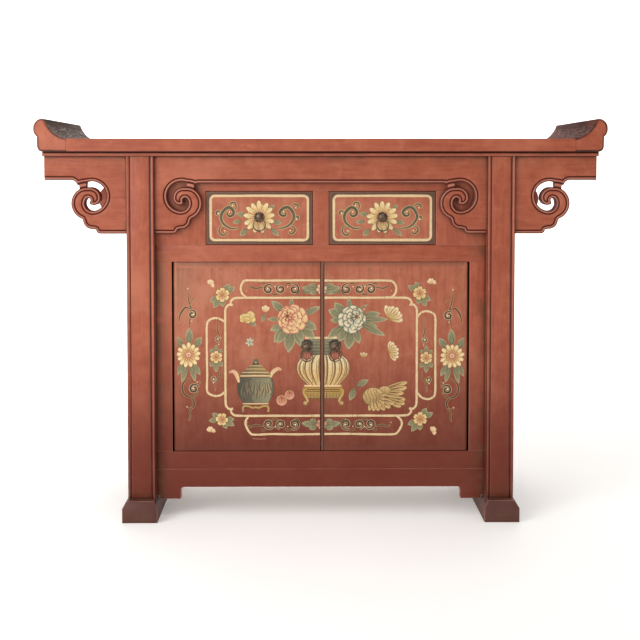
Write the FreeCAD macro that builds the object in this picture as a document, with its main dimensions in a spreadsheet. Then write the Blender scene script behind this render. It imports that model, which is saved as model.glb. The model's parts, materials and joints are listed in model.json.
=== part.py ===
"""Altar table: everted ends, pierced scroll brackets, two drawers and two doors.

Frame: X along the length, Y to the back, Z up; the origin is the centre of the footprint on the floor.
Every driving size is a cell of the sheet below, in millimetres.
"""
import FreeCAD, Part
import os
import Sketcher

V = FreeCAD.Vector
doc = FreeCAD.newDocument("altar_table")

SIZES = {
    # Tabletop: a framed panel with an everted piece on each end
    "end_seam": 562.0,             # centre to the seam of an everted end
    "end_width": 73.0,             # seam to the outermost point of the scroll
    "end_rise": 44.0,              # scroll above the top surface
    "top_depth": 406.0,
    "top_surface": 856.0,          # floor to the top surface
    "top_thickness": 29.0,
    "top_rail_width": 88.0,
    "top_panel_thickness": 14.0,
    "batten_width": 45.0,
    "batten_span_share": 0.32,
    # Bead moulding under the top
    "moulding_height": 10.0,
    "moulding_width": 24.0,
    "moulding_setback": 10.0,
    "moulding_end_setback": 16.5,
    "moulding_bulge": 2.5,
    # Posts and sled feet
    "post_inset": 128.0,           # outer side of a post in from the end seam
    "post_width": 62.0,
    "post_depth": 58.0,
    "post_setback": 14.0,
    "post_bead": 7.0,
    "post_groove": 3.0,
    "post_crown": 1.2,
    "foot_outer_overhang": 9.5,    # foot past the outer side of its post
    "foot_inner_overhang": 7.0,
    "foot_projection": 14.0,       # foot past the front and back of the top
    "foot_height": 47.0,
    "foot_bevel_rise": 15.0,
    "foot_bevel_run": 9.0,
    # Scroll brackets and aprons
    "eye_radius": 33.5,
    "scroll_drop": 173.0,          # lowest edge of a scroll board below the moulding
    "eye_lift": 83.0,              # scroll eye above that edge
    "wing_end_inset": 2.0,         # end of a wing in from the moulding's end
    "wing_eye_inset": 78.3,        # scroll eye of a wing from the outer side of its post
    "wing_step": 10.535,           # lower edge of a plain arm above the notch of its scroll
    "wing_thickness": 22.0,
    "wing_setback": 22.0,
    "apron_eye_inset": 61.5,       # scroll eye of the apron from the inner side of its post
    "apron_step": 3.035,
    "apron_thickness": 14.0,
    "end_apron_thickness": 14.0,
    # Carcass frame
    "frame_setback": 38.0,
    "frame_thickness": 24.0,
    "side_setback": 10.0,
    "side_rail_height": 60.0,
    "panel_thickness": 10.0,
    "shelf_thickness": 12.0,
    "floor_drop": 6.0,             # cabinet floor below the top of its rails
    "divider_width": 36.0,
    "flank_width": 113.0,          # board between a drawer and its post
    "drawer_way_height": 122.0,
    "top_rail_height": 87.5,
    "middle_rail_height": 37.5,
    "stile_width": 36.0,
    "bottom_rail_bottom": 108.5,
    "bottom_rail_height": 40.0,
    "skirt_thickness": 18.0,
    "skirt_height": 42.0,
    "skirt_leg_drop": 27.0,
    "skirt_leg_width": 54.0,
    "skirt_step": 8.0,
    # Drawers
    "face_recess": 0.5,
    "drawer_reveal": 1.5,
    "drawer_front_thickness": 18.0,
    "drawer_side_thickness": 12.0,
    "drawer_bottom_thickness": 6.0,
    "drawer_bottom_lift": 8.0,
    "drawer_side_drop": 12.0,      # side's top edge below the front's
    "drawer_back_gap": 2.5,        # closed drawer to the rail behind it
    "runner_width": 34.0,
    "guide_height": 24.0,
    # Doors
    "door_thickness": 18.0,
    "door_side_gap": 2.0,
    "door_reveal": 1.2,
    "door_meeting_gap": 1.4,
    "pivot_radius": 4.0,
    "pivot_length": 10.0,
    "pivot_clearance": 0.06,
    "ledge_width": 40.0,
    "ledge_thickness": 9.0,
    "ledge_end_gap": 28.0,
    "ledge_inset": 70.0,
    "stop_lip": 8.0,
    # Pulls: domed plate, split pin and loose ring
    "plate_radius": 12.0,
    "plate_dome": 5.0,
    "plate_rim": 1.2,
    "ring_radius": 13.6,
    "ring_wire": 1.4,
    "eye_wire": 0.9,
    "eye_clearance": 0.3,
    "pin_radius": 1.6,
    "pull_drop": 3.9,              # ring's pivot below the centre of its plate
    "drawer_pull_offset": 2.0,
    "door_pull_offset": 32.0,
    "door_pull_rise": 21.75,       # pull above the middle of its door
    # Joints and gaps
    "tenon_length": 20.0,
    "stub_length": 8.0,
    "tongue_length": 6.0,
    "tenon_shares": 0.5,           # tenon thickness as a share of the rail's
    "fit": 0.15,
    "seat_gap": 0.3,
    "overrun": 2.0,                # how far a cutter passes the face it opens
}


class Size:
    """A length with its value and the sheet expression that it is bound by."""

    def __init__(self, text, value):
        self.text = text
        self.value = value

    @staticmethod
    def of(other):
        return other if isinstance(other, Size) else Size(repr(other), float(other))

    def join(self, sign, other, value):
        return Size(f"({self.text} {sign} {other.text})", value)

    def __add__(self, other):
        other = Size.of(other)
        return self.join("+", other, self.value + other.value)

    def __sub__(self, other):
        other = Size.of(other)
        return self.join("-", other, self.value - other.value)

    def __mul__(self, other):
        other = Size.of(other)
        return self.join("*", other, self.value * other.value)

    def __truediv__(self, other):
        other = Size.of(other)
        return self.join("/", other, self.value / other.value)

    def __neg__(self):
        return Size(f"(0 - {self.text})", -self.value)

    def __radd__(self, other):
        return Size.of(other) + self

    def __rmul__(self, other):
        return Size.of(other) * self

    def __rsub__(self, other):
        return Size.of(other) - self

    def __lt__(self, other):
        return self.value < Size.of(other).value


class Sheet:
    """The driving sizes, read as attributes."""

    def __init__(self, table):
        cells = doc.addObject("Spreadsheet::Sheet", "Sizes")
        for row, (alias, number) in enumerate(table.items(), start=1):
            cells.set(f"A{row}", alias)
            cells.set(f"B{row}", str(number))
            cells.setAlias(f"B{row}", alias)
        doc.recompute()
        for alias in table:
            setattr(self, alias, Size(f"Sizes.{alias}", float(getattr(cells, alias))))


s = Sheet(SIZES)
ZERO = s.fit * 0
LEFT = -1
RIGHT = 1
SIDES = {"left": LEFT, "right": RIGHT}
FRONT = 1
BACK = -1
PARTS = []


def bind(item, **sizes):
    """Tie properties of an object to the sheet; a double underscore stands for a dot."""
    for name, size in sizes.items():
        item.setExpression(name.replace("__", "."), Size.of(size).text)


def span(low, high):
    """A range with its lower end first."""
    return (low, high) if low < high else (high, low)


class Block:
    """A box given by its three ranges."""

    def __init__(self, x, y, z):
        self.x = span(*x)
        self.y = span(*y)
        self.z = span(*z)

    def facing(self, side, face=FRONT):
        """The same box on the given side and face of the table."""
        x = self.x if side == RIGHT else (-self.x[1], -self.x[0])
        y = self.y if face == FRONT else (-self.y[1], -self.y[0])
        return Block(x, y, self.z)

    def grown(self):
        """The space that takes this box with a fit all round."""
        ranges = [(low - s.fit, high + s.fit) for low, high in (self.x, self.y, self.z)]
        return Block(*ranges)

    def solid(self, name):
        """The box as an object of the document, bound to the sheet."""
        item = doc.addObject("Part::Box", name)
        bind(
            item,
            Length=self.x[1] - self.x[0],
            Width=self.y[1] - self.y[0],
            Height=self.z[1] - self.z[0],
            Placement__Base__x=self.x[0],
            Placement__Base__y=self.y[0],
            Placement__Base__z=self.z[0],
        )
        return item

    def shape(self):
        """The box as a plain shape, for outlines drawn straight from the sheet."""
        sizes = [(high - low).value for low, high in (self.x, self.y, self.z)]
        return Part.makeBox(*sizes, V(self.x[0].value, self.y[0].value, self.z[0].value))


def solid_of(shape, name):
    """An object for a block, or the object itself."""
    return shape.solid(name) if isinstance(shape, Block) else shape


def numbered(shapes, name):
    """Objects for all the given blocks or objects."""
    return [solid_of(shape, f"{name}_{count}") for count, shape in enumerate(shapes, start=1)]


def united(shapes, name):
    """One object that holds all the given blocks or objects."""
    items = numbered(shapes, name)
    if len(items) == 1:
        return items[0]
    whole = doc.addObject("Part::MultiFuse", name)
    whole.Shapes = items
    whole.Refine = True
    return whole


def keep(item, node):
    """Record a finished sub-part under its own label."""
    item.Label = node
    PARTS.append(item)
    return item


def piece(node, cores, cuts=()):
    """A sub-part: its blocks joined, less its mortises and grooves."""
    body = united(list(cores), f"{node}_stock")
    if cuts:
        cutter = united(list(cuts), f"{node}_cutter")
        result = doc.addObject("Part::Cut", f"{node}_piece")
        result.Base = body
        result.Tool = cutter
        body = result
    return keep(body, node)


def group(node, members):
    """A sub-part made of alike separate solids."""
    whole = doc.addObject("Part::Compound", f"{node}_group")
    whole.Links = numbered(members, node)
    return keep(whole, node)


AXES = {"Y": (0, 1, 0), "Z": (0, 0, 1)}


def cylinder(name, radius, length, x, y, z, axis="Z"):
    """A round bar that starts at a point and runs along an axis."""
    item = doc.addObject("Part::Cylinder", name)
    item.Placement = FreeCAD.Placement(V(), FreeCAD.Rotation(V(0, 0, 1), V(*AXES[axis])))
    bind(item, Radius=radius, Height=length, Placement__Base__x=x, Placement__Base__y=y, Placement__Base__z=z)
    return item


def point_of(x, y):
    """A sketch point from two sizes."""
    return V(Size.of(x).value, Size.of(y).value, 0)


def tie_point(sketch, geometry, end, corner):
    """Hold a sketch point at sizes from the sheet."""
    for kind, size in zip(("DistanceX", "DistanceY"), corner):
        size = Size.of(size)
        index = sketch.addConstraint(Sketcher.Constraint(kind, geometry, end, size.value))
        sketch.setExpression(f"Constraints[{index}]", size.text)


def outline_sketch(body, role, steps):
    """A closed outline on one of the body's own planes.

    Each step is a corner that a line runs to, or a pair: a point that an arc passes and its end corner.
    """
    plane = [item for item in body.Origin.OriginFeatures if item.Role == role][0]
    sketch = body.newObject("Sketcher::SketchObject", f"{body.Name}_outline")
    sketch.AttachmentSupport = [(plane, "")]
    sketch.MapMode = "FlatFace"
    start = steps[-1][-1]
    edges = []
    for step in steps:
        end = step[-1]
        if len(step) == 1:
            index = sketch.addGeometry(Part.LineSegment(point_of(*start), point_of(*end)))
            ends = (1, 2)
        else:
            first, through, last = point_of(*start), point_of(*step[0]), point_of(*end)
            anticlockwise = (through - first).cross(last - through).z > 0
            arc = Part.Arc(first, through, last) if anticlockwise else Part.Arc(last, through, first)
            index = sketch.addGeometry(arc)
            ends = (1, 2) if anticlockwise else (2, 1)
        edges.append((index, ends, end, step))
        start = end
    following = edges[1:] + edges[:1]
    for (index, ends, end, step), (after, after_ends, _, _) in zip(edges, following):
        sketch.addConstraint(Sketcher.Constraint("Coincident", index, ends[1], after, after_ends[0]))
        tie_point(sketch, index, ends[1], end)
        if len(step) == 2:
            mark = sketch.addGeometry(Part.Point(point_of(*step[0])), True)
            sketch.addConstraint(Sketcher.Constraint("PointOnObject", mark, 1, index))
            tie_point(sketch, mark, 1, step[0])
    return sketch


def padded_body(name, role, steps, length, symmetric=False):
    """A body made by drawing an outline and padding it."""
    body = doc.addObject("PartDesign::Body", name)
    sketch = outline_sketch(body, role, steps)
    pad = body.newObject("PartDesign::Pad", f"{name}_pad")
    pad.Profile = sketch
    bind(pad, Length=length)
    pad.SideType = "Symmetric" if symmetric else "One side"
    return body


def corner_loop(*corners):
    """Straight steps through a list of corners."""
    return [(corner,) for corner in corners]


def tenon(block, axis, end, length=None):
    """A centred tenon on one end of a rail, along an axis; end is 1 for the high end and -1 for the low."""
    length = s.tenon_length if length is None else length
    inset_share = 1 - s.tenon_shares
    ranges = {}
    for name in "xyz":
        low, high = getattr(block, name)
        if name == axis:
            ranges[name] = (high, high + length) if end > 0 else (low - length, low)
        else:
            inset = (high - low) * inset_share / 2
            ranges[name] = (low + inset, high - inset)
    return Block(**ranges)


def both_ends(block, axis, length=None):
    """The two tenons of a rail."""
    return [tenon(block, axis, end, length) for end in (-1, 1)]


# How far a quarter round passes from the corner of its square, as a share of its radius
QUARTER_ROUND_SHARE = 0.29

# Notch where a scroll board's arm meets its scroll, from the eye's centre, as shares of the eye's radius
NOTCH_OUT_SHARE = 0.94
NOTCH_UP_SHARE = 0.79

# Places that several pieces share
top_front = -s.top_depth / 2
top_bottom = s.top_surface - s.top_thickness
rail_back = top_front + s.top_rail_width
panel_bottom = s.top_surface - s.top_panel_thickness
moulding_bottom = top_bottom - s.moulding_height
moulding_front = top_front + s.moulding_setback
moulding_back = moulding_front + s.moulding_width
moulding_reach = s.end_seam + s.end_width - s.moulding_end_setback
post_front = top_front + s.post_setback
post_back = post_front + s.post_depth
post_face = s.end_seam - s.post_inset
post_inner = post_face - s.post_width
post_middle = post_face - s.post_width / 2
foot_outer = post_face + s.foot_outer_overhang
foot_inner = post_inner - s.foot_inner_overhang
foot_end = s.top_depth / 2 + s.foot_projection
frame_front = top_front + s.frame_setback
frame_back = frame_front + s.frame_thickness
side_outer = post_face - s.side_setback
side_inner = side_outer - s.frame_thickness
side_panel_inner = side_outer - s.frame_thickness / 2 - s.panel_thickness / 2
back_panel_inner = -frame_back + s.frame_thickness / 2 - s.panel_thickness / 2
bottom_rail_top = s.bottom_rail_bottom + s.bottom_rail_height
way_top = top_bottom - s.top_rail_height
way_bottom = way_top - s.drawer_way_height
middle_rail_bottom = way_bottom - s.middle_rail_height
way_inner = s.divider_width / 2
way_outer = post_inner - s.flank_width
door_way_side = post_inner - s.stile_width
face_front = frame_front + s.face_recess
door_back = face_front + s.door_thickness
drawer_front_back = face_front + s.drawer_front_thickness
drawer_bottom = way_bottom + s.drawer_reveal
door_bottom = bottom_rail_top + s.door_reveal
door_top = middle_rail_bottom - s.door_reveal
pivot_x = door_way_side - s.door_side_gap - s.door_thickness / 2
pivot_y = face_front + s.door_thickness / 2
shelf_back = back_panel_inner - s.frame_thickness
drawer_end = shelf_back - s.drawer_back_gap
dust_bottom = middle_rail_bottom + s.tongue_length
dust_top = dust_bottom + s.shelf_thickness
lip_front = door_back + s.seat_gap

# Places of the scrolls and heights of the arms above them
eye_drop = s.scroll_drop - s.eye_lift
eye_height = moulding_bottom - eye_drop
wing_reach = moulding_reach - s.wing_end_inset
wing_eye = post_face + s.wing_eye_inset
apron_eye = post_inner - s.apron_eye_inset
notch_rise = s.eye_radius * NOTCH_UP_SHARE
wing_arm = eye_drop - notch_rise - s.wing_step
apron_arm = eye_drop - notch_rise - s.apron_step

# Rails and panels whose joints cut other pieces
FRAME = (frame_front, frame_back)
TOP_RAIL = Block((-post_inner, post_inner), FRAME, (way_top, top_bottom))
MIDDLE_RAIL = Block((-post_inner, post_inner), FRAME, (middle_rail_bottom, way_bottom))
BOTTOM_RAIL = Block((-post_inner, post_inner), FRAME, (s.bottom_rail_bottom, bottom_rail_top))
BACK_TOP_RAIL = Block(
    (-post_inner, post_inner),
    (-frame_back, -frame_front),
    (top_bottom - s.side_rail_height, top_bottom),
)
BACK_BOTTOM_RAIL = BOTTOM_RAIL.facing(RIGHT, BACK)
BACK_MIDDLE_RAIL = Block((-post_inner, post_inner), (shelf_back, back_panel_inner), MIDDLE_RAIL.z)
SIDE_TOP_RAIL = Block((side_inner, side_outer), (post_back, -post_back), BACK_TOP_RAIL.z)
SIDE_BOTTOM_RAIL = Block((side_inner, side_outer), (post_back, -post_back), BOTTOM_RAIL.z)
PANEL_HEIGHT = (bottom_rail_top - s.tongue_length, BACK_TOP_RAIL.z[0] + s.tongue_length)
SIDE_PANEL = Block(
    (side_panel_inner, side_panel_inner + s.panel_thickness),
    (post_back - s.tongue_length, s.tongue_length - post_back),
    PANEL_HEIGHT,
)
BACK_PANEL = Block(
    (-post_inner - s.tongue_length, post_inner + s.tongue_length),
    (back_panel_inner, back_panel_inner + s.panel_thickness),
    PANEL_HEIGHT,
)
FLOOR = Block(
    (-side_inner, side_inner),
    (frame_back - s.tongue_length, s.tongue_length - frame_back),
    (bottom_rail_top - s.floor_drop - s.shelf_thickness, bottom_rail_top - s.floor_drop),
)
DUST_BOARD = Block(
    (-side_panel_inner, side_panel_inner),
    (frame_back - s.tongue_length, shelf_back + s.tongue_length),
    (dust_bottom, dust_top),
)
DIVIDER = Block((-way_inner, way_inner), FRAME, (way_bottom, way_top))
STILE = Block((door_way_side, post_inner), FRAME, (bottom_rail_top, middle_rail_bottom))
FLANK = Block((way_outer, post_inner), FRAME, (way_bottom, way_top))
TOP_RAILS = [
    Block((-s.end_seam, s.end_seam), span(face * top_front, face * rail_back), (top_bottom, s.top_surface))
    for face in (FRONT, BACK)
]
PANEL_TONGUE = Block(
    (-s.end_seam - s.tongue_length, s.end_seam + s.tongue_length),
    (rail_back - s.tongue_length, s.tongue_length - rail_back),
    (panel_bottom, panel_bottom + s.top_panel_thickness * s.tenon_shares),
)
BATTENS = [
    Block(
        (s.end_seam * place - s.batten_width / 2, s.end_seam * place + s.batten_width / 2),
        (rail_back, -rail_back),
        (top_bottom, panel_bottom),
    )
    for place in (-2 * s.batten_span_share, ZERO, 2 * s.batten_span_share)
]

# One post is drawn for the right front corner and turned to the others
POST_RISER = Block((post_inner, post_face), (moulding_back, post_back), (moulding_bottom, top_bottom))
POST_TOP_TENON = tenon(POST_RISER, "z", 1, s.top_thickness * s.tenon_shares)
POST_SHAFT = Block((post_inner, post_face), (post_front, post_back), (s.foot_height, moulding_bottom))
POST_FOOT_TENON = tenon(POST_SHAFT, "z", -1)
WING_FACE = top_front + s.wing_setback
wing_tongue_inset = s.wing_thickness * s.tenon_shares / 2
WING_TONGUE = Block(
    (post_face - s.tongue_length, post_face),
    (WING_FACE + wing_tongue_inset, WING_FACE + s.wing_thickness - wing_tongue_inset),
    (moulding_bottom - s.scroll_drop + wing_arm / 2, moulding_bottom - wing_arm / 2),
)

# Everted end: across as shares of its width from the seam, up as shares of its rise or of the top's thickness
ROLL_SHARES = (
    ((0.411, 0.330), (0.664, 0.968)),
    ((0.705, 0.994), (0.753, 1.0)),
    ((0.918, 0.864), (1.0, 0.534)),
    ((0.989, 0.307), (0.897, 0.102)),
)
UNDERCUT_SHARES = ((0.890, 0.586), (0.847, 0.869), (0.774, 1.0))


def everted_end_outline(side):
    """The end of the top seen from the front: hollow rise, rolled scroll, neck and undercut."""

    def place(share, rise):
        return (side * (s.end_seam + s.end_width * share[0]), s.top_surface + rise * share[1])

    steps = [((side * s.end_seam, s.top_surface),)]
    steps += [(place(through, s.end_rise), place(end, s.end_rise)) for through, end in ROLL_SHARES]
    neck, turn, under = [place(share, -s.top_thickness) for share in UNDERCUT_SHARES]
    steps += [(neck,), (turn, under), ((side * s.end_seam, top_bottom),)]
    return steps


def make_top():
    """Two long rails, a floating panel on battens and an everted piece on each end."""
    groove = PANEL_TONGUE.grown()
    post_mortises = {
        face: [POST_TOP_TENON.facing(side, face).grown() for side in (LEFT, RIGHT)] for face in (FRONT, BACK)
    }
    batten_tenons = {
        face: [tenon(batten, "y", -face) for batten in BATTENS] for face in (FRONT, BACK)
    }
    for rail, face, node in zip(TOP_RAILS, (FRONT, BACK), ("top_front_rail", "top_back_rail")):
        housings = [joint.grown() for joint in batten_tenons[face]]
        piece(node, [rail, *both_ends(rail, "x")], [groove, *post_mortises[face], *housings])
    panel = Block((-s.end_seam, s.end_seam), (rail_back, -rail_back), (panel_bottom, s.top_surface))
    piece("top_panel", [panel, PANEL_TONGUE])
    group("top_battens", [united([batten, *both_ends(batten, "y")], "batten") for batten in BATTENS])
    for name, side in SIDES.items():
        end = padded_body(f"{name}_end", "XZ_Plane", everted_end_outline(side), s.top_depth, symmetric=True)
        mortises = [tenon(rail, "x", side).grown() for rail in TOP_RAILS]
        piece(f"{name}_everted_end", [end], [groove, *mortises])


def bead_outline(side, edge, inner):
    """A strip with a rounded outer edge, between the top and the boards below."""
    middle = (top_bottom + moulding_bottom) / 2
    shoulder = edge - side * s.moulding_bulge
    return [
        ((inner, moulding_bottom),),
        ((shoulder, moulding_bottom),),
        ((edge, middle), (shoulder, top_bottom)),
        ((inner, top_bottom),),
    ]


def make_mouldings():
    """Bead strips under the edges of the top."""
    for name, face in (("front", FRONT), ("back", BACK)):
        outline = bead_outline(-face, face * moulding_front, face * moulding_back)
        strip = padded_body(f"{name}_bead", "YZ_Plane", outline, 2 * moulding_reach, symmetric=True)
        piece(f"{name}_moulding", [strip])
    ends = []
    for name, side in SIDES.items():
        outline = bead_outline(side, side * moulding_reach, side * (moulding_reach - s.moulding_width))
        ends.append(padded_body(f"{name}_bead", "XZ_Plane", outline, -2 * moulding_back, symmetric=True))
    group("end_mouldings", ends)


def post_outline():
    """Section of a post: a bead on each front corner, a groove inside it and a crowned face."""
    half = s.post_width / 2
    bead = s.post_bead
    near = s.post_bead / 2 * QUARTER_ROUND_SHARE
    steps = [((-half, s.post_depth),)]
    for side in (LEFT, RIGHT):
        corner = [
            (side * half, bead / 2),
            (side * (half - near), near),
            (side * (half - bead / 2), ZERO),
            (side * (half - bead - s.post_groove / 2), s.post_groove),
            (side * (half - bead - s.post_groove), s.post_crown),
        ]
        if side == LEFT:
            steps += [(corner[0],), (corner[1], corner[2]), (corner[3],), (corner[4],)]
        else:
            steps += [((ZERO, ZERO), corner[4]), (corner[3],), (corner[2],), (corner[1], corner[0])]
    steps.append(((half, s.post_depth),))
    return steps


def make_posts():
    """Four posts, tenoned into the top and the feet, grooved for panels and brackets."""
    side_joints = [tenon(rail, "y", -1) for rail in (SIDE_TOP_RAIL, SIDE_BOTTOM_RAIL)]
    face_joints = {
        FRONT: [tenon(rail, "x", 1) for rail in (TOP_RAIL, MIDDLE_RAIL, BOTTOM_RAIL)],
        BACK: [tenon(rail, "x", 1) for rail in (BACK_TOP_RAIL, BACK_BOTTOM_RAIL)] + [BACK_PANEL],
    }
    for face_name, face in (("front", FRONT), ("back", BACK)):
        for name, side in SIDES.items():
            node = f"{face_name}_{name}_post"
            shaft = padded_body(f"{node}_shaft", "XY_Plane", post_outline(), moulding_bottom - s.foot_height)
            if face == BACK:
                shaft.Placement = FreeCAD.Placement(V(), FreeCAD.Rotation(V(0, 0, 1), 180))
            bind(
                shaft,
                Placement__Base__x=side * post_middle,
                Placement__Base__y=face * post_front,
                Placement__Base__z=s.foot_height,
            )
            extras = [block.facing(side, face) for block in (POST_RISER, POST_TOP_TENON, POST_FOOT_TENON)]
            joints = [block.facing(side, face) for block in (*side_joints, SIDE_PANEL, WING_TONGUE)]
            joints += [block.facing(side, FRONT) for block in face_joints[face]]
            piece(node, [shaft, *extras], [joint.grown() for joint in joints])


def bevelled_outline(low, high):
    """A foot from one side: upright edges, then a bevel to a narrower top."""
    shoulder = s.foot_height - s.foot_bevel_rise
    return corner_loop(
        (low, ZERO),
        (high, ZERO),
        (high, shoulder),
        (high - s.foot_bevel_run, s.foot_height),
        (low + s.foot_bevel_run, s.foot_height),
        (low, shoulder),
    )


def make_feet():
    """A sled foot under each pair of posts, bevelled all round."""
    for name, side in SIDES.items():
        low, high = span(side * foot_inner, side * foot_outer)
        across = padded_body(
            f"{name}_foot_across", "XZ_Plane", bevelled_outline(low, high), 2 * foot_end, symmetric=True
        )
        ends = (-foot_end, foot_end)
        along = padded_body(
            f"{name}_foot_along", "YZ_Plane", bevelled_outline(*ends), 2 * foot_outer, symmetric=True
        )
        foot = doc.addObject("Part::Common", f"{name}_foot_stock")
        foot.Base = across
        foot.Tool = along
        mortises = [POST_FOOT_TENON.facing(side, face).grown() for face in (FRONT, BACK)]
        piece(f"{name}_sled_foot", [foot], mortises)


# Scroll: the eye is a hole that winds round the tip of a curl. Places are shares of the eye's radius,
# measured from its centre, outwards along the board and up
EYE_SHARES = (
    ((-1.0, 0.0), (-0.167, -0.940)),
    ((0.415, -0.430), (0.310, -0.150)),
    ((0.180, -0.107), (0.066, -0.220)),
    ((0.110, -0.380),),
    ((0.110, -0.480), (0.030, -0.530)),
    ((-0.360, -0.520), (-0.625, -0.080)),
    ((-0.420, 0.420), (0.180, 0.627)),
    ((0.340, 0.625),),
    ((0.322, 0.947),),
)
OGEE_SHARES = (0.40, 0.72)
OGEE_RUN_SHARE = 1.2
STRUT_SHARES = ((0.80, 0.76), (0.776, 0.52))
# Outer edge below the strut: out as shares of the eye's radius, down as shares of the board below the eye
CURL_SHARES = (
    ((1.343, 0.17), (0.627, 0.60)),
    ((0.567, 0.645),),
    ((0.418, 0.79), (-0.090, 0.873)),
    ((-0.284, 0.89),),
    ((-0.373, 0.964), (-0.567, 1.0)),
)


def wire_through(start, steps, place):
    """A wire of lines and three-point arcs; place turns a step's point into a position."""
    edges = []
    here = place(start)
    for step in steps:
        there = place(step[-1])
        if len(step) == 1:
            edges.append(Part.LineSegment(here, there).toShape())
        else:
            edges.append(Part.Arc(here, place(step[0]), there).toShape())
        here = there
    return edges


def curl_steps(step):
    """Outer edge of a scroll from its plain arm to the lowest edge, as heights above the eye's centre."""
    radius = s.eye_radius.value
    depth = s.eye_lift.value
    notch = (radius * NOTCH_OUT_SHARE, radius * NOTCH_UP_SHARE)
    drop = step.value
    run = drop * OGEE_RUN_SHARE
    ogee = (notch[0] + run * OGEE_SHARES[0], notch[1] + drop * OGEE_SHARES[1])
    steps = [((notch[0] + run, notch[1] + drop),), (ogee, notch)]
    steps += [((radius * out, radius * up),) for out, up in STRUT_SHARES]
    steps += [tuple((radius * out, -depth * down) for out, down in share) for share in CURL_SHARES]
    return steps


def eye_wire(place):
    """The winding hole of a scroll."""
    radius = s.eye_radius.value
    steps = [tuple((radius * out, radius * up) for out, up in step) for step in EYE_SHARES]
    return Part.Wire(wire_through(steps[-1][-1], steps, place))


def shape_piece(node, shape):
    """A sub-part whose outline is drawn straight from the sheet's sizes."""
    item = doc.addObject("Part::Feature", f"{node}_board")
    item.Shape = shape
    return keep(item, node)


def wing_shape(side, face):
    """A bracket outside a post: plain arm at the outer end, pierced scroll below it."""
    front = face * WING_FACE.value
    depth = face * s.wing_thickness.value
    top = eye_drop.value
    inner = -s.wing_eye_inset.value
    outer = (wing_reach - wing_eye).value
    lowest = -s.eye_lift.value

    def place(point):
        return V(side * (wing_eye.value + point[0]), front, eye_height.value + point[1])

    corners = corner_loop((inner, lowest), (inner, top), (outer, top))
    steps = [((outer, top - wing_arm.value),), *curl_steps(s.wing_step), *corners]
    outline = Part.Wire(wire_through((outer, top), steps, place))
    face_shape = Part.Face([outline, eye_wire(place)])
    face_shape.validate()
    return face_shape.extrude(V(0, depth, 0)).fuse(WING_TONGUE.facing(side, face).shape()).removeSplitter()


def front_apron_shape():
    """The board between the front posts, with a scroll at each end."""
    front = (top_front + s.frame_setback - s.apron_thickness).value
    top = eye_drop.value
    arm = top - apron_arm.value
    middle = apron_eye.value
    end = -s.apron_eye_inset.value
    lowest = -s.eye_lift.value

    def place_on(side):
        return lambda point: V(side * (middle - point[0]), front, eye_height.value + point[1])

    half = [*curl_steps(s.apron_step), *corner_loop((end, lowest), (end, top))]
    edges = wire_through((middle, arm), half, place_on(RIGHT))
    edges += wire_through((middle, arm), half, place_on(LEFT))
    corners = [place_on(side)((end, top)) for side in (LEFT, RIGHT)]
    edges.append(Part.LineSegment(*corners).toShape())
    outline = Part.Wire(Part.__sortEdges__(edges))
    face_shape = Part.Face([outline, eye_wire(place_on(LEFT)), eye_wire(place_on(RIGHT))])
    face_shape.validate()
    return face_shape.extrude(V(0, s.apron_thickness.value, 0))


def make_aprons():
    """Brackets outside the posts, aprons between them and across the ends."""
    for face_name, face in (("front", FRONT), ("back", BACK)):
        for name, side in SIDES.items():
            shape_piece(f"{face_name}_{name}_bracket", wing_shape(side, face))
    shape_piece("front_apron", front_apron_shape())
    apron = Block((-post_inner, post_inner), (frame_front - s.apron_thickness, frame_front),
                  (moulding_bottom - apron_arm, moulding_bottom))
    piece("back_apron", [apron.facing(RIGHT, BACK)])
    wing_back = WING_FACE + s.wing_thickness
    end_apron = Block((wing_reach - s.end_apron_thickness, wing_reach), (wing_back, -wing_back),
                      (moulding_bottom - wing_arm, moulding_bottom))
    group("end_aprons", [end_apron.facing(side) for side in (LEFT, RIGHT)])


def stop_lip(low, high):
    """The strip of a rail that a closed door rests against."""
    return Block((-door_way_side, door_way_side), (lip_front, frame_back), (low, high))


def pivot_holes(node, low, high):
    """Holes for the pivots of both doors in a rail."""
    radius = s.pivot_radius + s.pivot_clearance
    return [
        cylinder(f"{name}_{node}_pivot_hole", radius, high - low, side * pivot_x, pivot_y, low)
        for name, side in SIDES.items()
    ]


def skirt_outline():
    """Board under the bottom rail: a straight edge that steps down to a short leg at each end."""
    bottom = s.bottom_rail_bottom - s.skirt_height
    leg_bottom = bottom - s.skirt_leg_drop
    leg_edge = post_inner - s.skirt_leg_width
    step = s.skirt_step
    near = step * QUARTER_ROUND_SHARE
    left = [
        ((-post_inner, leg_bottom),),
        ((-leg_edge, leg_bottom),),
        ((-leg_edge, bottom - step),),
        ((near - leg_edge, bottom - near), (step - leg_edge, bottom)),
    ]
    right = [
        ((leg_edge - step, bottom),),
        ((leg_edge - near, bottom - near), (leg_edge, bottom - step)),
        ((leg_edge, leg_bottom),),
        ((post_inner, leg_bottom),),
    ]
    return left + right + corner_loop((post_inner, s.bottom_rail_bottom), (-post_inner, s.bottom_rail_bottom))


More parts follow.
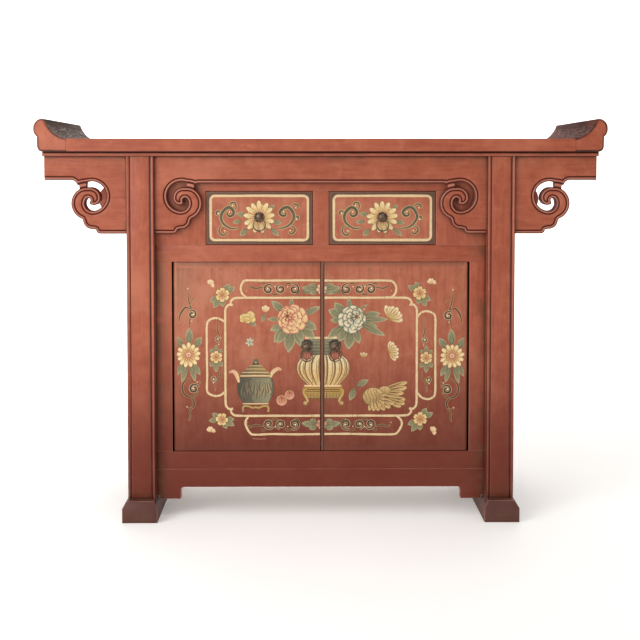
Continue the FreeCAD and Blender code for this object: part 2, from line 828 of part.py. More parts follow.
def make_front_frame():
    """Rails, stiles and boards that frame the drawers and doors."""
    divider_low, divider_high = both_ends(DIVIDER, "z", s.stub_length)
    flank_low, flank_high = both_ends(FLANK, "z", s.stub_length)
    stile_low, stile_high = both_ends(STILE, "z", s.stub_length)

    def on_both_sides(*blocks):
        return [block.facing(side).grown() for block in blocks for side in (LEFT, RIGHT)]

    top_cuts = [divider_high.grown(), *on_both_sides(flank_high)]
    piece("top_rail", [TOP_RAIL, *both_ends(TOP_RAIL, "x")], top_cuts)
    dust_groove = DUST_BOARD.grown()
    middle_cuts = [divider_low.grown(), *on_both_sides(flank_low, stile_high), dust_groove]
    hole_top = door_top + s.pivot_length + s.seat_gap
    middle_cuts += pivot_holes("middle_rail", middle_rail_bottom - s.overrun, hole_top)
    middle_lip = stop_lip(middle_rail_bottom - s.stop_lip, middle_rail_bottom)
    piece("middle_rail", [MIDDLE_RAIL, middle_lip, *both_ends(MIDDLE_RAIL, "x")], middle_cuts)
    hole_bottom = door_bottom - s.pivot_length - s.seat_gap
    bottom_cuts = [*on_both_sides(stile_low), FLOOR.grown()]
    bottom_cuts += pivot_holes("bottom_rail", hole_bottom, bottom_rail_top + s.overrun)
    bottom_lip = stop_lip(bottom_rail_top, bottom_rail_top + s.stop_lip)
    piece("bottom_rail", [BOTTOM_RAIL, bottom_lip, *both_ends(BOTTOM_RAIL, "x")], bottom_cuts)
    piece("drawer_divider", [DIVIDER, divider_low, divider_high])
    for name, side in SIDES.items():
        piece(f"{name}_door_stile", [block.facing(side) for block in (STILE, stile_low, stile_high)])
    flanks = []
    for name, side in SIDES.items():
        blocks = [block.facing(side) for block in (FLANK, flank_low, flank_high)]
        flanks.append(united(blocks, f"{name}_flank"))
    group("drawer_flank_boards", flanks)
    skirt = padded_body("skirt_board", "XZ_Plane", skirt_outline(), s.skirt_thickness)
    bind(skirt, Placement__Base__y=frame_front + s.skirt_thickness)
    over_foot = Block((foot_inner - s.seat_gap, foot_outer), (frame_front - s.overrun, frame_back),
                      (ZERO, s.foot_height + s.seat_gap))
    piece("front_skirt", [skirt], [over_foot.facing(side) for side in (LEFT, RIGHT)])


def make_sides_and_back():
    """Side and back rails with their panels."""
    rails = []
    for name, side in SIDES.items():
        for height, rail in (("top", SIDE_TOP_RAIL), ("bottom", SIDE_BOTTOM_RAIL)):
            blocks = [block.facing(side) for block in (rail, *both_ends(rail, "y"))]
            cut = doc.addObject("Part::Cut", f"{name}_{height}_side_rail")
            cut.Base = united(blocks, f"{name}_{height}_rail")
            cut.Tool = SIDE_PANEL.grown().facing(side).solid(f"{name}_{height}_groove")
            rails.append(cut)
        piece(f"{name}_side_panel", [SIDE_PANEL.facing(side)])
    group("side_rails", rails)
    back_rails = []
    for height, rail in (("top", BACK_TOP_RAIL), ("bottom", BACK_BOTTOM_RAIL), ("middle", BACK_MIDDLE_RAIL)):
        blocks = [rail] if rail is BACK_MIDDLE_RAIL else [rail, *both_ends(rail, "x")]
        cut = doc.addObject("Part::Cut", f"{height}_back_rail")
        cut.Base = united(blocks, f"{height}_back_rail_stock")
        grooves = [block.grown() for block in (BACK_PANEL, FLOOR, DUST_BOARD)]
        cut.Tool = united(grooves, f"{height}_back_groove")
        back_rails.append(cut)
    group("back_rails", back_rails)
    piece("back_panel", [BACK_PANEL])


def make_inside():
    """Cabinet floor, dust board and the runners that carry the drawers."""
    corner = Block(
        (post_inner - s.seat_gap, post_face),
        (frame_back - s.tongue_length - s.overrun, post_back + s.seat_gap),
        (ZERO, dust_top + s.overrun),
    )
    corners = [corner.facing(side, face) for side in (LEFT, RIGHT) for face in (FRONT, BACK)]
    piece("cabinet_floor", [FLOOR], corners)
    piece("dust_board", [DUST_BOARD], corners)
    low = dust_top
    high = drawer_bottom - s.seat_gap
    length = (frame_back, shelf_back)
    half = s.runner_width / 2
    centre = [
        Block((-way_inner - half, way_inner + half), length, (low, high)),
        Block((-way_inner, way_inner), length, (low, high + s.guide_height)),
    ]
    outer = [
        Block((way_outer - half, way_outer + half), length, (low, high)),
        Block((way_outer, way_outer + half), length, (low, high + s.guide_height)),
    ]
    runners = [united(centre, "centre_runner")]
    runners += [
        united([block.facing(side) for block in outer], f"{name}_runner") for name, side in SIDES.items()
    ]
    group("drawer_runners", runners)


# A point halfway up the dome of a pull's plate, as shares of its radius and rise
DOME_SHARES = (0.68, 0.58)
FULL_TURN = 360


def make_pull(name, x, z, back):
    """A domed plate held by a split pin, and a loose ring in the pin's eye."""
    outline = [
        ((s.plate_radius, ZERO),),
        ((s.plate_radius, -s.plate_rim),),
        ((s.plate_radius * DOME_SHARES[0], -s.plate_rim - s.plate_dome * DOME_SHARES[1]),
         (ZERO, -s.plate_rim - s.plate_dome)),
        ((ZERO, ZERO),),
    ]
    dome = doc.addObject("PartDesign::Body", f"{name}_dome")
    sketch = outline_sketch(dome, "XY_Plane", outline)
    turned = dome.newObject("PartDesign::Revolution", f"{name}_dome_turned")
    turned.Profile = sketch
    turned.ReferenceAxis = (sketch, ["V_Axis"])
    turned.Angle = FULL_TURN
    bind(dome, Placement__Base__x=x, Placement__Base__y=face_front, Placement__Base__z=z)
    ring_y = face_front - s.plate_rim - s.plate_dome - s.seat_gap - s.ring_wire
    pivot_z = z - s.pull_drop
    eye_radius = s.ring_wire + s.eye_clearance + s.eye_wire
    eye_outer = eye_radius + s.eye_wire
    eye = doc.addObject("Part::Torus", f"{name}_eye")
    eye.Placement = FreeCAD.Placement(V(), FreeCAD.Rotation(V(0, 1, 0), 90))
    bind(eye, Radius1=eye_radius, Radius2=s.eye_wire,
         Placement__Base__x=x, Placement__Base__y=ring_y, Placement__Base__z=pivot_z)
    shank_start = ring_y + eye_radius
    shank_length = back + s.eye_wire - shank_start
    shank = cylinder(f"{name}_shank", s.pin_radius, shank_length, x, shank_start, pivot_z, "Y")
    legs = Block((x - s.plate_radius / 2, x + s.plate_radius / 2), (back, back + s.eye_wire),
                 (pivot_z - s.pin_radius, pivot_z + s.pin_radius))
    pin = united([eye, shank, legs], f"{name}_split_pin")
    seat = cylinder(f"{name}_pin_hole", s.pin_radius + s.fit, -ring_y, x, ring_y, pivot_z, "Y")
    slot = Block((x - s.eye_wire - s.seat_gap, x + s.eye_wire + s.seat_gap),
                 (ring_y - s.overrun, ring_y + eye_outer + s.seat_gap),
                 (pivot_z - eye_outer - s.seat_gap, pivot_z + eye_outer + s.seat_gap))
    plate = doc.addObject("Part::Cut", f"{name}_pierced_plate")
    plate.Base = dome
    plate.Tool = united([seat, slot], f"{name}_plate_cutter")
    group(f"{name}_pull_plate", [plate, pin])
    ring = doc.addObject("Part::Torus", f"{name}_ring")
    ring.Placement = FreeCAD.Placement(V(), FreeCAD.Rotation(V(1, 0, 0), 90))
    bind(ring, Radius1=s.ring_radius, Radius2=s.ring_wire,
         Placement__Base__x=x, Placement__Base__y=ring_y, Placement__Base__z=pivot_z - s.ring_radius)
    piece(f"{name}_pull_ring", [ring])


def pin_way(name, x, z, back):
    """The hole that a pull's split pin passes through."""
    start = face_front - s.overrun
    length = back + s.overrun - start
    return cylinder(f"{name}_pin_way", s.pin_radius + s.fit, length, x, start, z - s.pull_drop, "Y")


def make_drawers():
    """Two drawers: front, sides, back and a bottom let into grooves."""
    low_x = way_inner + s.drawer_reveal
    high_x = way_outer - s.drawer_reveal
    top = way_top - s.drawer_reveal
    side_top = top - s.drawer_side_drop
    side_x = s.drawer_side_thickness
    run = (drawer_front_back, drawer_end)
    panel_low = drawer_bottom + s.drawer_bottom_lift
    panel_z = (panel_low, panel_low + s.drawer_bottom_thickness)
    groove = s.drawer_side_thickness * s.tenon_shares
    front = Block((low_x, high_x), (face_front, drawer_front_back), (drawer_bottom, top))
    inner_side = Block((low_x, low_x + side_x), run, (drawer_bottom, side_top))
    outer_side = Block((high_x - side_x, high_x), run, (drawer_bottom, side_top))
    back = Block((low_x + side_x, high_x - side_x), (drawer_end - side_x, drawer_end), (panel_z[1], side_top))
    bottom_x = (low_x + side_x - groove, high_x - side_x + groove)
    bottom = Block(bottom_x, (drawer_front_back - groove, drawer_end), panel_z)
    pull_z = (drawer_bottom + top) / 2 + s.drawer_pull_offset
    for name, side in SIDES.items():
        pull_x = side * (low_x + high_x) / 2
        drawer = f"{name}_drawer"
        bottom_groove = bottom.facing(side).grown()
        hole = pin_way(drawer, pull_x, pull_z, drawer_front_back)
        piece(f"{drawer}_front", [front.facing(side)], [bottom_groove, hole])
        sides = []
        for place, block in (("inner", inner_side), ("outer", outer_side)):
            cut = doc.addObject("Part::Cut", f"{drawer}_{place}_side")
            cut.Base = block.facing(side).solid(f"{drawer}_{place}_board")
            cut.Tool = bottom_groove.solid(f"{drawer}_{place}_groove")
            sides.append(cut)
        group(f"{drawer}_sides", sides)
        piece(f"{drawer}_back", [back.facing(side)])
        piece(f"{drawer}_bottom", [bottom.facing(side)])
        make_pull(drawer, pull_x, pull_z, drawer_front_back)


def door_outline(side):
    """A door from above, with a half-round hinge edge about its pivot."""
    meeting = side * s.door_meeting_gap / 2
    edge = side * (pivot_x + s.door_thickness / 2)
    hinge = side * pivot_x
    return [
        ((meeting, face_front),),
        ((hinge, face_front),),
        ((edge, pivot_y), (hinge, door_back)),
        ((meeting, door_back),),
    ]


def make_doors():
    """Two board doors that turn on round pivots, each with two ledges across its back."""
    for name, side in SIDES.items():
        door = f"{name}_door"
        board = padded_body(f"{door}_slab", "XY_Plane", door_outline(side), door_top - door_bottom)
        bind(board, Placement__Base__z=door_bottom)
        pivot_length = s.pivot_length + s.overrun
        pivots = [
            cylinder(f"{door}_{place}_pivot", s.pivot_radius, pivot_length, side * pivot_x, pivot_y, z)
            for place, z in (("bottom", door_bottom - s.pivot_length), ("top", door_top - s.overrun))
        ]
        pull_x = side * s.door_pull_offset
        pull_z = (door_bottom + door_top) / 2 + s.door_pull_rise
        piece(f"{door}_board", [board, *pivots], [pin_way(door, pull_x, pull_z, door_back)])
        ledge_x = (s.ledge_end_gap, pivot_x - s.door_thickness / 2 - s.ledge_end_gap / 2)
        low = door_bottom + s.ledge_inset
        high = door_top - s.ledge_inset
        ledges = [
            Block(ledge_x, (door_back, door_back + s.ledge_thickness), height).facing(side)
            for height in ((low, low + s.ledge_width), (high - s.ledge_width, high))
        ]
        group(f"{door}_ledges", ledges)
        make_pull(door, pull_x, pull_z, door_back)


def write_parts():
    """Check every object and each sub-part, then write one file for each."""
    doc.recompute()
    for item in doc.Objects:
        if {"Invalid", "Error"} & set(item.State):
            raise RuntimeError(f"{item.Name} failed: {item.State}")
    os.makedirs("parts", exist_ok=True)
    for item in PARTS:
        if item.Shape.isNull() or not item.Shape.isValid():
            raise RuntimeError(f"{item.Label} has no valid shape")
        item.Shape.exportStep(f"parts/{item.Label}.step")
    print(len(PARTS), "parts written")


make_top()
make_mouldings()
make_posts()
make_feet()
make_aprons()
make_front_frame()
make_sides_and_back()
make_inside()
make_drawers()
make_doors()
write_parts()
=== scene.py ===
"""Looks of the altar table: carved and lacquered woodwork, painted doors and drawers, ring pulls."""

from __future__ import annotations

import json
import logging
import math
import random
from dataclasses import dataclass, field
from enum import Enum
from functools import cache
from typing import Any, Callable, ClassVar, Iterable, Sequence

import bmesh
import bpy
import numpy as np
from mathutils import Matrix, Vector, geometry

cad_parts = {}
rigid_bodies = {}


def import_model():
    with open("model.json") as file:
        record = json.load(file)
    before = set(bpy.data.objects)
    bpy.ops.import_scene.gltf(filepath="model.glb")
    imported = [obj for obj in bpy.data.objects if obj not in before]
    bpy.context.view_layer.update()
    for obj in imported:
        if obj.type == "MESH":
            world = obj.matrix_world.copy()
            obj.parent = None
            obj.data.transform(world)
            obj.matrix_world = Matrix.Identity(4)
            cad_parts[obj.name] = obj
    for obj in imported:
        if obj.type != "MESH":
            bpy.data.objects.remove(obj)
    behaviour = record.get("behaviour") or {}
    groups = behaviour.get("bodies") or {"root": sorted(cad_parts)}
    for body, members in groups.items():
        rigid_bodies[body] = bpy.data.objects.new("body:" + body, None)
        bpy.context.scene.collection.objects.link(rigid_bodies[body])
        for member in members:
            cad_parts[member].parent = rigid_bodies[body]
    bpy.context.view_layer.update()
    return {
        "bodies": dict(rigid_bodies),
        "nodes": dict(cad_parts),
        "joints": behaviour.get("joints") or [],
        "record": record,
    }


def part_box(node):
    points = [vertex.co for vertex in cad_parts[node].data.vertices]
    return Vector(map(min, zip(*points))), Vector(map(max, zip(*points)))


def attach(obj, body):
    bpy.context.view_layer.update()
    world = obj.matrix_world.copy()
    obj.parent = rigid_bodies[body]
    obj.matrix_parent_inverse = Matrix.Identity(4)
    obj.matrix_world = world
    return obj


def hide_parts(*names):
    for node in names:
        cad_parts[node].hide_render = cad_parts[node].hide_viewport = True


LOG = logging.getLogger("altar_table")
MM = 0.001

Colour = tuple[float, float, float, float]
Point = tuple[float, float]
Place = tuple[float, float, float]


def tint(code: str) -> Colour:
    """The linear colour, with full cover, of six hexadecimal digits."""
    parts = [int(code[index : index + 2], 16) / 255 for index in (0, 2, 4)]
    return (*(part / 12.92 if part <= 0.04045 else ((part + 0.055) / 1.055) ** 2.4 for part in parts), 1.0)


@dataclass(frozen=True)
class Field:
    """A value that varies over a surface, written in plain arithmetic."""

    board: ShadeBoard
    socket: bpy.types.NodeSocket

    def _with(self, operation: str, first: Any, second: Any) -> Field:
        """Result of a Math node."""
        return self.board.add("ShaderNodeMath", {"operation": operation}, {0: first, 1: second})

    def __add__(self, other: Any) -> Field:
        """Sum of two values."""
        return self._with("ADD", self, other)

    def __sub__(self, other: Any) -> Field:
        """Difference of two values."""
        return self._with("SUBTRACT", self, other)

    def __rsub__(self, other: Any) -> Field:
        """Difference from a plain number."""
        return self._with("SUBTRACT", other, self)

    def __mul__(self, other: Any) -> Field:
        """Product of two values."""
        return self._with("MULTIPLY", self, other)

    __radd__ = __add__
    __rmul__ = __mul__

    def between(self, low: float, high: float) -> Field:
        """A smooth step, from 0 at the low value to 1 at the high one."""
        settings = {"interpolation_type": "SMOOTHSTEP"}
        return self.board.add("ShaderNodeMapRange", settings, {"Value": self, "From Min": low, "From Max": high})

    def most(self, other: Any) -> Field:
        """The larger of two values."""
        return self._with("MAXIMUM", self, other)

    def floor(self) -> Field:
        """The whole number below the value."""
        return self._with("FLOOR", self, 0.0)

    def size(self) -> Field:
        """The value without its sign."""
        return self._with("ABSOLUTE", self, 0.0)


class ShadeBoard:
    """The node tree of one material."""

    def __init__(self, name: str) -> None:
        """Start an empty tree.

        Args:
            name: Name of the material.
        """
        self.material = bpy.data.materials.new(name)
        self.material.use_nodes = True
        self.tree = self.material.node_tree
        self.tree.nodes.clear()

    def add(self, kind: str, settings: dict[str, Any], sockets: dict[Any, Any], output: Any = 0) -> Field:
        """Add a node.

        Args:
            kind: Type of the node.
            settings: Its properties.
            sockets: Values or fields for its inputs, by name or place.
            output: The output that is wanted.

        Returns:
            That output.
        """
        node = self.tree.nodes.new(kind)
        for name, value in settings.items():
            setattr(node, name, value)
        for name, value in sockets.items():
            if isinstance(value, Field):
                self.tree.links.new(value.socket, node.inputs[name])
            else:
                node.inputs[name].default_value = value
        return Field(self, node.outputs[output])

    def spot(self) -> Field:
        """Place on the piece, in metres of the whole table."""
        return self.add("ShaderNodeTexCoord", {}, {}, "Object")

    def axis(self, name: str) -> Field:
        """Place along one axis, X, Y or Z, in metres."""
        return self.add("ShaderNodeSeparateXYZ", {}, {"Vector": self.spot()}, name)

    def stretched(self, scale: tuple[float, float, float], shift: float = 0.0) -> Field:
        """Place on the piece with each axis squeezed, shifted to another part of the pattern."""
        place = self.spot()
        return self.add("ShaderNodeMapping", {}, {"Vector": place, "Scale": scale, "Location": (shift,) * 3})

    def noise(self, place: Field, scale: float, detail: float = 3.0, rough: float = 0.55, bend: float = 0.0) -> Field:
        """Soft noise between 0 and 1: how fine, with how many finer layers, how strong and how distorted."""
        sockets = {"Vector": place, "Scale": scale, "Detail": detail, "Roughness": rough, "Distortion": bend}
        return self.add("ShaderNodeTexNoise", {}, sockets)

    def blend(self, amount: Any, first: Any, second: Any, how: str = "MIX") -> Field:
        """The first colour with some amount of the second one mixed in."""
        settings = {"data_type": "RGBA", "blend_type": how}
        return self.add("ShaderNodeMix", settings, {0: amount, 6: first, 7: second}, 2)

    def layers(self, colour: Any, *layers: tuple[Any, str]) -> Field:
        """A colour with layers over it, each with its amount and its tint.

        Args:
            colour: The first colour or field.
            layers: Amount and hexadecimal colour of each layer.

        Returns:
            The colour on top.
        """
        for amount, code in layers:
            colour = self.blend(amount, colour, tint(code))
        return colour

    def crevice(self, reach: float) -> Field:
        """0 in the open and 1 in a deep corner, with neighbours within reach: a mask for painted shade, and for soiling
        and patina that gather there.
        """
        settings = {"samples": CREVICE_SAMPLES}
        return 1 - self.add("ShaderNodeAmbientOcclusion", settings, {"Distance": reach}, "AO")

    def mark(self, name: str, output: Any = "Fac") -> Field:
        """The factor or colour that a mesh attribute carries."""
        return self.add("ShaderNodeAttribute", {"attribute_name": name}, {}, output)

    def bumps(self, height: Field, strength: float, depth: float) -> Field:
        """Normal bent by a small relief, as deep as depth in metres where its height is 1."""
        return self.add("ShaderNodeBump", {}, {"Height": height, "Strength": strength, "Distance": depth})

    def finish(self, colour: Field, rough: Field, normal: Field, fixed: dict[str, Any]) -> bpy.types.Material:
        """Close the material with one surface shader.

        Args:
            colour: Base colour.
            rough: Roughness.
            normal: Bent normal.
            fixed: The other inputs.

        Returns:
            The material.
        """
        sockets = {"Base Color": colour, "Roughness": rough, "Normal": normal, **fixed}
        shader = self.add("ShaderNodeBsdfPrincipled", {}, sockets)
        output = self.tree.nodes.new("ShaderNodeOutputMaterial")
        self.tree.links.new(shader.socket, output.inputs["Surface"])
        return self.material


CREVICE_SAMPLES = 8


class Grain(Enum):
    """Direction in which a board's grain runs."""

    ALONG_X = (1.0, 9.0, 9.0)
    ALONG_Y = (9.0, 1.0, 9.0)
    ALONG_Z = (9.0, 9.0, 1.0)

    def drawn(self, length: float, breadth: float = 9.0) -> tuple[float, float, float]:
        """Squeeze of each axis, for streaks that are longer or finer than usual."""
        x, y, z = (length if share == 1.0 else breadth for share in self.value)
        return x, y, z


@dataclass(frozen=True)
class Lacquer:
    """Brick-red lacquer, worn back, with painted shade and soiling in its corners and grooves, painted shade towards
    the bottom, and worn edges with painted highlights.
    """

    name: str
    grain: Grain
    red: str = "AC5B3F"
    deep: str = "94472F"
    rosy: str = "B87055"
    # The low tint is painted shade towards the bottom; the near-black tint serves specks of soiling and painted shade
    # in seams and corners; the groove tint is painted shade in grooves with some soiling; the edge tint gives edge wear
    # with painted highlight, or painted edge shade where it is dark.
    low_shade_red: str = "62251A"
    grime_and_shade: str = "34130B"
    smoke: str = "6E5138"
    edge: str = "B8806F"
    groove: str = "4A1308"
    edge_wear_and_light_share: float = 0.48
    soil_and_shade_amount: float = 1.0
    painted: bool = False
    bare: tuple[str, str, str] | None = None
    # Dark lines across the posts' grooves, some wider on the side away from the light: painted shadow with some
    # soiling.
    upright_lines: tuple[tuple[float, float], ...] = ()
    glue_line: tuple[float, float, float] | None = None
    # Dark lines at these heights, along the top's lower edge and the moulding: painted shade.
    level_lines: ClassVar[tuple[tuple[float, float], ...]] = ((0.8270, 0.0019), (0.8170, 0.0014))

    @cache
    def material(self) -> bpy.types.Material:
        """Build the finish, once.

        Returns:
            The material.
        """
        board = ShadeBoard(self.name)
        streaks = board.noise(board.stretched(self.grain.value), 16.0, 5.0, 0.62, 0.5)
        fine = board.noise(board.stretched(self.grain.value, 3.0), 90.0, 3.0, 0.6)
        patches = board.noise(board.spot(), 5.0, 5.0, 0.62, 0.5)
        mottle = board.noise(board.spot(), 38.0, 4.0, 0.65, 0.4)
        specks = board.noise(board.spot(), 280.0, 2.0, 0.5)
        tone = streaks * 0.35 + patches * 0.35 + mottle * 0.3
        height = board.axis("Z")
        # Darker towards the bottom: painted shade that darkens the lower parts.
        low = 1 - (height + patches * 0.08).between(0.14, 0.5)
        colour = board.layers(
            tint(self.deep), (tone.between(0.36, 0.62), self.red), (patches.between(0.5, 0.72) * 0.5, self.rosy),
            (fine.between(0.55, 0.72) * 0.2, self.deep), (mottle.between(0.58, 0.72) * 0.22, self.rosy),
            (specks.between(0.68, 0.78) * 0.4, self.grime_and_shade), (low * 0.86, self.low_shade_red),
        )
        cover = 0.0
        if self.painted:
            colour, cover = self._paint(board, colour, streaks)
        # Occlusion of near and wide neighbours darkens seams and corners: painted shade with some soiling; the greyer
        # dust in wide hollows is the lacquer's own.
        near, wide = board.crevice(0.009), board.crevice(0.05)
        smudge = board.noise(board.spot(), 21.0, 4.0, 0.65)
        crevice_shade_and_soil = (wide.between(0.2, 0.8) * smudge.between(0.3, 0.62) * 0.55).most(near.between(0.22, 0.62) * 0.95)
        dust = wide.between(0.05, 0.42) * smudge.between(0.40, 0.64)
        polish = (1 - low) * 0.3 + 0.02
        # Grooves, the lines at fixed heights and the post lines are darkened: painted shade with some soiling.
        groove = board.mark("groove")
        for place, reach in self.level_lines:
            groove = groove.most(1 - (height - place).size().between(reach * 0.55, reach))
        if self.upright_lines:
            outer = board.axis("Y").size().between(0.1845, 0.1855)
            for place, reach in self.upright_lines:
                line = 1 - (board.axis("X") - place).size().between(reach * 0.5, reach)
                groove = groove.most(line * outer)
        if self.glue_line:
            level, start, end = self.glue_line
            line = 1 - (height + mottle * 0.002 - level).size().between(0.0003, 0.0011)
            line = line * board.axis("X").between(start - 0.004, start)
            groove = groove.most(line * (1 - board.axis("X").between(end, end + 0.004)) * 0.7)
        # Eased arrises and bead crowns: edge wear with painted highlight where the edge tint is light, painted edge
        # shade with some soiling where it is dark.
        edge = board.mark("edge_wear_and_painted_light") * (smudge.between(0.3, 0.6) * 0.6 + 0.4)
        colour = board.layers(
            colour, (dust * 0.62 * self.soil_and_shade_amount, self.smoke), (crevice_shade_and_soil * self.soil_and_shade_amount, self.grime_and_shade),
            (groove * 0.94, self.groove), (edge * self.edge_wear_and_light_share, self.edge),
        )
        rough = streaks * 0.12 + smudge * 0.16 + crevice_shade_and_soil * 0.25 + 0.36
        if self.bare:
            colour, upward = self._rub_top(board, colour)
            rough = rough + upward * 0.45
            polish = polish * (1 - upward)
        relief = streaks * 0.35 + fine * 0.2 + specks * 0.12 + mottle * 0.3 + cover * 0.12
        normal = board.bumps(relief, 0.3, 0.0009)
        fixed = {"Coat Weight": polish, "Coat Roughness": 0.42, "Specular IOR Level": 0.22}
        return board.finish(colour, rough, normal, fixed)

    def _rub_top(self, board: ShadeBoard, colour: Field) -> tuple[Field, Field]:
        """Wear on faces that look upwards: open grain, bare wood and pale streaks.

        Args:
            board: The board to add to.
            colour: Colour of the lacquer.

        Returns:
            The worn colour, and how far the face looks upwards.
        """
        dark, brown, dust = self.bare
        facing = board.add("ShaderNodeTexCoord", {}, {}, "Normal")
        upward = board.add("ShaderNodeSeparateXYZ", {}, {"Vector": facing}, "Z").between(0.12, 0.34)
        veins = board.noise(board.stretched(self.grain.drawn(0.5), 5.0), 15.0, 5.0, 0.6, 0.5)
        scuffs = board.noise(board.stretched(self.grain.drawn(0.9), 9.0), 34.0, 4.0, 0.65, 0.4)
        blots = board.noise(board.spot(), 9.0, 4.0, 0.6, 0.5)
        rim = (board.axis("Z") + blots * 0.012).between(0.8885, 0.8925)
        wood = board.layers(
            tint(brown), (veins.between(0.4, 0.58) * 0.8, dark), (scuffs.between(0.44, 0.62) * (1 - rim) * 0.8, dust),
            (blots.between(0.45, 0.7) * 0.45, brown),
        )
        return board.blend(upward * (blots.between(0.3, 0.5) * 0.2 + 0.8), colour, wood), upward

    def _paint(self, board: ShadeBoard, colour: Field, streaks: Field) -> tuple[Field, Field]:
        """Painted ornament over the lacquer, thin and rubbed.

        Args:
            board: The board to add to.
            colour: Colour of the lacquer.
            streaks: Grain of the lacquer.

        Returns:
            The colour with the paint, and how much paint there is.
        """
        paint, cover = board.mark("paint", "Color"), board.mark("paint", "Alpha")
        brush = board.noise(board.stretched((5.0, 5.0, 2.0), 2.0), 120.0, 3.0, 0.6)
        worn = board.noise(board.spot(), 85.0, 4.0, 0.7)
        shade = board.blend(brush.between(0.3, 0.75) * 0.35, paint, tint("8A6B4A"), "MULTIPLY")
        kept = cover * (1 - worn.between(0.6, 0.78) * 0.5) * (1 - streaks.between(0.62, 0.8) * 0.25)
        return board.blend(kept, colour, shade), kept


@dataclass(frozen=True)
class BareWood:
    """Unfinished softwood of the inside and the back."""

    name: str
    grain: Grain
    joined_across: str = ""
    plank: float = 0.118
    pale: str = "A07C56"
    dark: str = "7D5C3F"

    @cache
    def material(self) -> bpy.types.Material:
        """Build the finish, once.

        Returns:
            The material.
        """
        board = ShadeBoard(self.name)
        stains = board.noise(board.spot(), 7.0, 4.0, 0.6)
        shift = joint = 0.0
        if self.joined_across:
            step = board.axis(self.joined_across) * (1 / self.plank)
            whole = step.floor()
            shift = board.add("ShaderNodeTexWhiteNoise", {"noise_dimensions": "1D"}, {"W": whole + 0.5}, "Value")
            joint = (step - whole - 0.5).size().between(0.478, 0.494)
        rings = board.noise(board.stretched(self.grain.drawn(0.35)), 13.0, 4.0, 0.55, 0.7)
        fibres = board.noise(board.stretched(self.grain.drawn(0.4, 10.0)), 100.0, 3.0, 0.6)
        saw = board.add(
            "ShaderNodeTexWave",
            {"wave_type": "BANDS", "bands_direction": "DIAGONAL"},
            {"Vector": board.spot(), "Scale": 90.0, "Distortion": 3.0, "Detail": 2.0},
        )
        # The last layer darkens corners and spots close to other pieces: painted shade.
        colour = board.layers(
            tint(self.dark), (rings.between(0.36, 0.66) * 0.8, self.pale), (fibres.between(0.45, 0.75) * 0.3, "5E4430"),
            (stains.between(0.45, 0.75) * 0.35, "5B402C"), (shift * 0.3, "6A4C34"), (joint * 0.85, "1C120C"),
            (board.crevice(0.03).between(0.25, 0.85) * 0.6, "2A1C14"),
        )
        normal = board.bumps(rings * 0.3 + fibres * 0.5 + saw * 0.12 - joint, 0.4, 0.0009)
        return board.finish(colour, fibres * 0.2 + 0.68, normal, {"Specular IOR Level": 0.3})


@dataclass(frozen=True)
class AgedBrass:
    """Dark brass with handled high spots."""

    name: str

    @cache
    def material(self) -> bpy.types.Material:
        """Build the finish, once.

        Returns:
            The material.
        """
        board = ShadeBoard(self.name)
        cloud = board.noise(board.spot(), 160.0, 4.0, 0.65)
        pits = board.noise(board.spot(), 900.0, 2.0, 0.5)
        colour = board.layers(
            tint("4B3A30"), (cloud.between(0.35, 0.7), "8F7860"), (pits.between(0.6, 0.75) * 0.4, "8A6D48"),
            (board.crevice(0.003).between(0.2, 0.8) * 0.8, "17100C"),
        )
        normal = board.bumps(cloud * 0.6 + pits * 0.4, 0.5, 0.0004)
        return board.finish(colour, cloud * 0.3 + 0.32, normal, {"Metallic": 0.6})


def new_object(name: str, data: Any) -> bpy.types.Object:
    """An object in the scene, with some data."""
    item = bpy.data.objects.new(name, data)
    bpy.context.scene.collection.objects.link(item)
    return item


